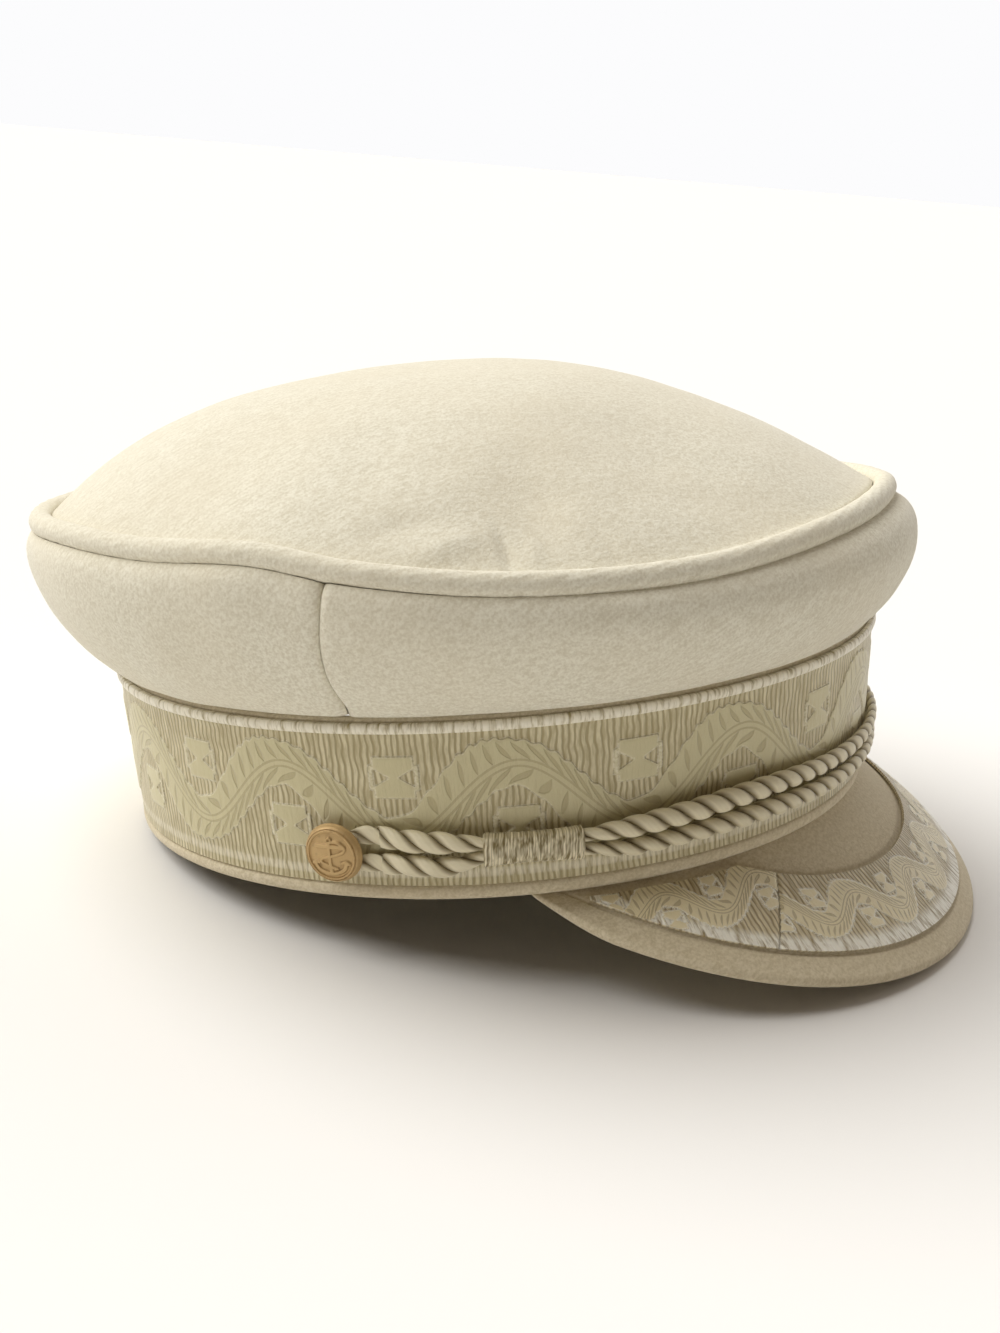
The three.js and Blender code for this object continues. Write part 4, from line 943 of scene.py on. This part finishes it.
def button(name, angle, node):
    """A turned outline from the shank's foot over the back, edge and rim to the dome, carried round its
    axis. On the face, inside the rim, the relief of the anchor is added to the height."""
    face = BUTTON_BACK_HEIGHT + BUTTON_EDGE_HEIGHT
    edge_turn = np.radians(np.linspace(-70, 50, 9))
    rim_turn = np.radians(np.linspace(10, 180, 11))
    back = [(0.02, 0), (SHANK_RADIUS, 0), (SHANK_RADIUS, BUTTON_BACK_HEIGHT),
            (BUTTON_BACK_RADIUS, BUTTON_BACK_HEIGHT)]
    edge = np.stack([BUTTON_RADIUS - 0.5 + 0.5 * np.cos(edge_turn),
                     BUTTON_BACK_HEIGHT + BUTTON_EDGE_ROUND * (1 + np.sin(edge_turn))], axis=-1)
    shoulder = [(BUTTON_RADIUS - 0.25, face - 0.6), (BUTTON_RADIUS - 0.55, face - 0.1),
                (BUTTON_RADIUS - 0.8, face + 0.12), (BUTTON_RADIUS - 0.9, face - 0.06),
                (BUTTON_RIM_RADIUS + BUTTON_RIM_HALF_WIDTH, face - 0.06)]
    rim = np.stack([BUTTON_RIM_RADIUS + BUTTON_RIM_HALF_WIDTH * np.cos(rim_turn),
                    face + 0.05 + BUTTON_RIM_HEIGHT * np.sin(rim_turn)], axis=-1)
    dome_radius = np.concatenate([[5.3, 5.2], np.linspace(5.1, 0.05, 58)])
    dome_share = 1 - (dome_radius / BUTTON_DOME_RADIUS) ** 2
    dome_up = face - BUTTON_DOME_SINK + (BUTTON_DOME_HEIGHT + BUTTON_DOME_SINK) * dome_share
    dome = np.stack([dome_radius, dome_up], axis=-1)
    outline = np.vstack([back, edge, shoulder, rim, dome])
    turn = np.linspace(0, 2 * np.pi, BUTTON_ROUND, endpoint=False)
    x = outline[:, :1] * np.cos(turn)
    y = outline[:, :1] * np.sin(turn)
    z = outline[:, 1:] + 0 * x
    on_dome = (np.arange(len(outline)) >= len(outline) - len(dome))[:, None]
    relief = np.clip(anchor_relief(x, y) / RELIEF_EDGE + 0.5, 0, 1) * on_dome
    z = z + RELIEF_HEIGHT * relief * relief * (3 - 2 * relief)
    foot = place(angle, BRAID_FACE, BUTTON_UP)
    upwards = place(angle, BRAID_FACE, BUTTON_UP + 1) - foot
    upwards /= np.linalg.norm(upwards)
    outwards = np.cross(place(angle + 1, BRAID_FACE, BUTTON_UP) - foot, upwards)
    outwards /= np.linalg.norm(outwards) * np.sign(outwards @ foot)
    sideways = np.cross(upwards, outwards)
    points = (foot + CLEARANCE * outwards + x[..., None] * sideways + y[..., None] * upwards
              + z[..., None] * outwards)
    raised = np.where(on_dome, 1 - PATINA_EDGE * relief * (1 - relief) + 0.15 * relief, 0.9)
    piece = ring_mesh(name, points, fields={"raised": raised})
    piece.data.materials.append(GOLD)
    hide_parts(node)
    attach(piece, "root")


button("button_cast_right", BUTTON_ANGLE, "button_right")
button("button_cast_left", -BUTTON_ANGLE, "button_left")

# Peak: a stiff board covered with the felt on both sides, its rim rounded, sewn under the band's lower
# edge at the front.
PEAK_REACH = 47
PEAK_THICK = 3.2
PEAK_HALF_ANGLE = 70.5
PEAK_OUTLINE_POWER = 2.4
PEAK_CORNER = 3
PEAK_FRONT_DROP = 47.5
PEAK_CORNER_DROP = 22
PEAK_BOW = 0.6
PEAK_TUCK = 2.6
PEAK_ROOT = FELT_THICK + HEM_ROLL - PEAK_TUCK
PEAK_STEPS = 300
PEAK_RUN_STEPS = 90
PEAK_END_SHARE = 0.86
TRIM_MARGIN_FRONT = 7.5
TRIM_MARGIN_CORNER = 9
TRIM_INSET = 19
TRIM_INSET_SHARE = 0.62
TRIM_INSET_POWER = 2.9
STITCH_GROOVE = 0.35
STITCH_GROOVE_WIDTH = 0.6
STITCH_FROM_TRIM = 0.5


def peak_length(angle):
    """The peak's reach: longest at the front, falling by a power of the angle to its corners."""
    share = np.abs(angle / PEAK_HALF_ANGLE)
    return PEAK_CORNER + (PEAK_REACH - PEAK_CORNER) * (1 - share ** PEAK_OUTLINE_POWER)


def peak_point(angle, run, lift):
    """Points of the peak: run is the distance from its root, outwards and down a slope that is steepest
    at the front, and lift the height over its upper face, which is bowed up a little."""
    share = angle / PEAK_HALF_ANGLE
    drop = np.radians(PEAK_FRONT_DROP + (PEAK_CORNER_DROP - PEAK_FRONT_DROP) * share ** 2)
    length = peak_length(angle)
    raised = lift + PEAK_BOW * 4 * (run / length) * (1 - run / length) * length / PEAK_REACH
    root = place(angle, PEAK_ROOT, 0 * run)
    outwards = root / np.array([HEAD_HALF_WIDTH + PEAK_ROOT, HEAD_FRONT + PEAK_ROOT, 1]) ** 2
    outwards /= np.linalg.norm(outwards, axis=-1, keepdims=True)
    point = root + outwards * (run * np.cos(drop) + raised * np.sin(drop))[..., None]
    point[..., 2] += raised * np.cos(drop) - run * np.sin(drop) - CLEARANCE
    return point


def trim_outer(share):
    """The trim's outer edge at a share of the peak's half angle, as a distance from the peak's root."""
    margin = TRIM_MARGIN_FRONT + (TRIM_MARGIN_CORNER - TRIM_MARGIN_FRONT) * share ** 2
    return peak_length(share * PEAK_HALF_ANGLE) - margin


def trim_inner(share):
    """The trim's inner edge in the same way: furthest out at the front, falling by a power."""
    return TRIM_INSET * (1 - np.abs(share / TRIM_INSET_SHARE) ** TRIM_INSET_POWER)


# The felt is drawn in by the stitches along both edges of the trim, and the peak's ends taper off
peak_share = np.sin(np.linspace(-np.pi / 2, np.pi / 2, PEAK_STEPS))[:, None]
peak_angle = PEAK_HALF_ANGLE * peak_share
rim_turn = np.radians(np.linspace(-90, 90, 17))[None, 1:-1]
flat_share = np.linspace(0, 1, PEAK_RUN_STEPS)[None, :]
peak_flat = peak_length(peak_angle) - PEAK_THICK / 2
peak_runs = np.concatenate([peak_flat * flat_share, peak_flat + PEAK_THICK / 2 * np.cos(rim_turn),
                            peak_flat * flat_share[:, ::-1]], axis=1)
upper_runs = peak_flat * flat_share[:, ::-1]
past_outer = upper_runs - trim_outer(peak_share) - STITCH_FROM_TRIM
before_inner = trim_inner(peak_share) - STITCH_FROM_TRIM - upper_runs
stitch_pull = sum(np.exp(-(off / STITCH_GROOVE_WIDTH) ** 2) for off in (past_outer, before_inner))
peak_lifts = np.concatenate([0 * flat_share - PEAK_THICK + 0 * peak_angle,
                             PEAK_THICK / 2 * (np.sin(rim_turn) - 1) + 0 * peak_angle,
                             -STITCH_GROOVE * stitch_pull], axis=1)
peak_taper = np.clip((np.abs(peak_share) - PEAK_END_SHARE) / (1 - PEAK_END_SHARE), 0, 0.995)
peak_taper = np.sqrt(1 - peak_taper ** 2)
peak_points = peak_point(peak_angle + 0 * peak_runs, peak_runs * peak_taper, peak_lifts * peak_taper)
peak_felt = ring_mesh("peak_felt", peak_points)
# The peak takes the darker felt, which holds painted shade.
peak_felt.data.materials.append(TAN_AND_SHADED_FELT)
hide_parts("peak")
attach(peak_felt, "root")

# Peak braid: a crescent of the same galloon sewn on the peak, its ends running in under the band. It is
# folded to a mitre on each side, and on its ground the satin threads have come loose and catch light.
TRIM_END_WIDTH = 1
TRIM_START = PEAK_TUCK + BRAID_THICK + 2 * CLEARANCE
TRIM_STEPS = 640
TRIM_RISE_STEPS = 48
TRIM_SCALE = 0.55
TRIM_CREST_ANGLE = 25.5
TRIM_PERIOD_ANGLE = 14.2
TRIM_FOOT = 3
TRIM_SWING = 7.1
TRIM_ROW_WIDTH = 6.6
MITRE_ANGLE = 35.4
MITRE_RUN = 9.25
MITRE_SLOPE = 0.38
MITRE_GROOVE = 0.4
MITRE_GROOVE_WIDTH = 0.35
END_STRIP_EDGE = 21.6
END_CREST_ANGLE = 38.9
TRIM_PATTERN_RAISE = 0.25
TRIM_PATTERN_EDGE = 1.2
TRIM_GROUND_SINK = 0.15
FRAYED_WIDTH = 4.5
FRAYED_EDGE = 2
FRAYED_SHARE = 0.87
LOOSE_GROUND_SHARE = 0.08

trim_shares = np.linspace(0, 1, 4001)
trim_end = trim_shares[trim_outer(trim_shares) > TRIM_START + TRIM_END_WIDTH].max()
trim_share = np.linspace(-trim_end, trim_end, TRIM_STEPS)[:, None]
trim_near = np.maximum(TRIM_START, trim_inner(trim_share))
across_trim = np.linspace(0, 1, TRIM_RISE_STEPS)[None, :]
over_runs = trim_near + (trim_outer(trim_share) - trim_near) * across_trim
under_runs = trim_near + (trim_outer(trim_share) - trim_near) * np.array([[1, 0.66, 0.33, 0]])
trim_runs = np.concatenate([over_runs, under_runs], axis=1)
trim_face = (np.arange(trim_runs.shape[1]) < TRIM_RISE_STEPS)[None, :]
trim_angle = trim_share * PEAK_HALF_ANGLE + 0 * trim_runs

# The strip follows the outer edge as far as a mitre on each side, and beyond it runs straight
past_mitre = np.abs(trim_angle) - MITRE_ANGLE - MITRE_SLOPE * (trim_runs - MITRE_RUN)
from_outer = np.where(past_mitre > 0, END_STRIP_EDGE - trim_runs, trim_outer(trim_share) - trim_runs)
periods = np.where(past_mitre > 0, END_CREST_ANGLE - np.abs(trim_angle), TRIM_CREST_ANGLE - trim_angle)
trim_along = periods / TRIM_PERIOD_ANGLE * VINE_PERIOD
trim_height = TRIM_FOOT + from_outer / TRIM_SCALE
stem, inside, box, foot, lens = vine_fields(trim_along, trim_height, TRIM_SWING, TRIM_ROW_WIDTH)
trim_pattern = np.clip(np.maximum(inside, box) / TRIM_PATTERN_EDGE + 0.5, 0, 1)
trim_lifts = BRAID_THICK - TRIM_GROUND_SINK + TRIM_PATTERN_RAISE * trim_pattern
trim_lifts = trim_lifts - MITRE_GROOVE * np.exp(-(past_mitre / MITRE_GROOVE_WIDTH) ** 2)
trim_lifts = CLEARANCE + trim_lifts * trim_face
trim_points = peak_point(trim_angle, trim_runs, trim_lifts)
frayed = np.clip((FRAYED_WIDTH - trim_outer(trim_share) + trim_runs) / FRAYED_EDGE, 0, 1)
trim_loose = trim_face * (LOOSE_GROUND_SHARE + FRAYED_SHARE * frayed)
trim_fields = {
    "weave": np.stack([trim_along, trim_height, trim_loose], axis=-1),
    "vine": np.stack([stem, np.where(trim_face, inside, FAR_OUTSIDE),
                      np.where(trim_face, box, FAR_OUTSIDE)], axis=-1),
    "leaf": np.stack([foot, lens, 0 * lens], axis=-1),
}
# A lighter copy of the band's galloon: its satin vine is brightened as painted sheen, standing in for the
# light the satin reflects from the front.
PEAK_GALLOON_PAINTED_SHEEN = galloon("cream satin galloon with loose threads and painted sheen", 2.6, "#F0E5C0", "#E2D4AC", "#9C8A62",
                       "#FFFDF0")
peak_galloon = ring_mesh("peak_galloon", trim_points, fields=trim_fields)
peak_galloon.data.materials.append(PEAK_GALLOON_PAINTED_SHEEN)
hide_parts("peak_braid")
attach(peak_galloon, "root")

# Floor: a plain pale painted board that the cap rests on. It is matt, and so wide that its far edge meets
# the pale background.
FLOOR_HALF = 12.0

floor_mesh = bpy.data.meshes.new("studio_floor")
floor_corners = [(FLOOR_HALF * x, FLOOR_HALF * y, 0) for x, y in ((-1, -1), (1, -1), (1, 1), (-1, 1))]
floor_mesh.from_pydata(floor_corners, [], [(0, 1, 2, 3)])
studio_floor = bpy.data.objects.new("studio_floor", floor_mesh)
bpy.context.scene.collection.objects.link(studio_floor)
floor_material, floor_tree = new_material("pale painted board")
floor_shader = add(floor_tree, "BsdfPrincipled", {"Base Color": linear("#EFEEEC"), "Roughness": 0.9,
                                                  "Specular IOR Level": 0.2})
add(floor_tree, "OutputMaterial", {"Surface": floor_shader.outputs[0]})
studio_floor.data.materials.append(floor_material)

# Camera: the photograph's view, worked out on the upright cap from a point that it looks at, with its
# distance, its turn round the cap, its height and its roll.
CAMERA_TURN = math.radians(-72.415)
CAMERA_HEIGHT = math.radians(14.537)
CAMERA_ROLL = math.radians(-4.784)
CAMERA_DISTANCE = 452.69
CAMERA_LENS = 45.9
AIM_RIGHT = 4.467
AIM_UP = -30.225
AIM_HEIGHT = 60.9

backwards = np.array([math.sin(CAMERA_TURN) * math.cos(CAMERA_HEIGHT),
                      -math.cos(CAMERA_TURN) * math.cos(CAMERA_HEIGHT), math.sin(CAMERA_HEIGHT)])
level = np.array([math.cos(CAMERA_TURN), math.sin(CAMERA_TURN), 0])
raised_up = np.cross(backwards, level)
camera_right = math.cos(CAMERA_ROLL) * level + math.sin(CAMERA_ROLL) * raised_up
camera_up = math.cos(CAMERA_ROLL) * raised_up - math.sin(CAMERA_ROLL) * level
aim = np.array([0, 0, AIM_HEIGHT]) + AIM_RIGHT * camera_right + AIM_UP * camera_up
camera_axes = tip(np.stack([camera_right, camera_up, backwards]))
camera_place = lay(aim + CAMERA_DISTANCE * backwards)

camera_data = bpy.data.cameras.new("camera")
camera_data.lens = CAMERA_LENS
camera_data.sensor_fit = "AUTO"
camera_data.clip_start = 0.01
camera = bpy.data.objects.new("camera", camera_data)
bpy.context.scene.collection.objects.link(camera)
bpy.context.scene.view_settings.view_transform = "Standard"
camera_matrix = np.eye(4)
camera_matrix[:3, :3] = camera_axes.T
camera_matrix[:3, 3] = camera_place
camera.matrix_world = camera_matrix.T.tolist()
bpy.context.scene.camera = camera

# Window: daylight from above and from the left, so broad that it lights the dome softly, leaves the front
# in shade and gives the cap a soft shadow on the camera's side.
WINDOW_SPREAD = 60
WINDOW_STRENGTH = 3.2


def soft_sun(name, right, up, back, spread, strength, colour):
    """A distant light from a direction right, up and back in the camera's own axes, as wide as the
    spread in degrees, so that its shadows are soft and it falls off nowhere."""
    backward = right * camera_axes[0] + up * camera_axes[1] + back * camera_axes[2]
    backward /= np.linalg.norm(backward)
    data = bpy.data.lights.new(name, "SUN")
    data.angle = math.radians(spread)
    data.energy = strength
    data.color = linear(colour)[:3]
    light = bpy.data.objects.new(name, data)
    bpy.context.scene.collection.objects.link(light)
    sideways = np.cross([0, 0, 1.0], backward)
    sideways /= np.linalg.norm(sideways)
    matrix = np.eye(4)
    matrix[:3, :3] = np.stack([sideways, np.cross(backward, sideways), backward], axis=-1)
    light.matrix_world = matrix.T.tolist()


soft_sun("window", -0.75, 1.25, 0.12, WINDOW_SPREAD, WINDOW_STRENGTH, "#FFFEFB")

# Room: a pale, bright backdrop behind the cap, and a dimmer, warmer room on the camera's side, from which
# the front of the cap takes its warm shade.
DIM_SIDE_GLOW = 0.15
BACKDROP_GLOW = 1.0

world = bpy.data.worlds.new("pale room")
bpy.context.scene.world = world
world.use_nodes = True
room = world.node_tree
away = -camera_axes[2] * np.array([1, 1, 0])
facing = add(room, "VectorMath", {0: add(room, "TexCoord").outputs["Generated"], 1: away.tolist()},
             operation="DOT_PRODUCT")
behind = add(room, "MapRange", {"Value": facing.outputs["Value"], "From Min": -0.3, "From Max": 0.75},
             interpolation_type="SMOOTHSTEP")
room_tone = add(room, "Mix", {0: behind.outputs["Result"], 6: linear("#F3DDC6"), 7: linear("#FCFCFD")},
                data_type="RGBA")
room_glow = add(room, "MapRange", {"Value": behind.outputs["Result"], "To Min": DIM_SIDE_GLOW,
                               "To Max": BACKDROP_GLOW})
room.links.new(room_tone.outputs[2], room.nodes["Background"].inputs["Color"])
room.links.new(room_glow.outputs["Result"], room.nodes["Background"].inputs["Strength"])
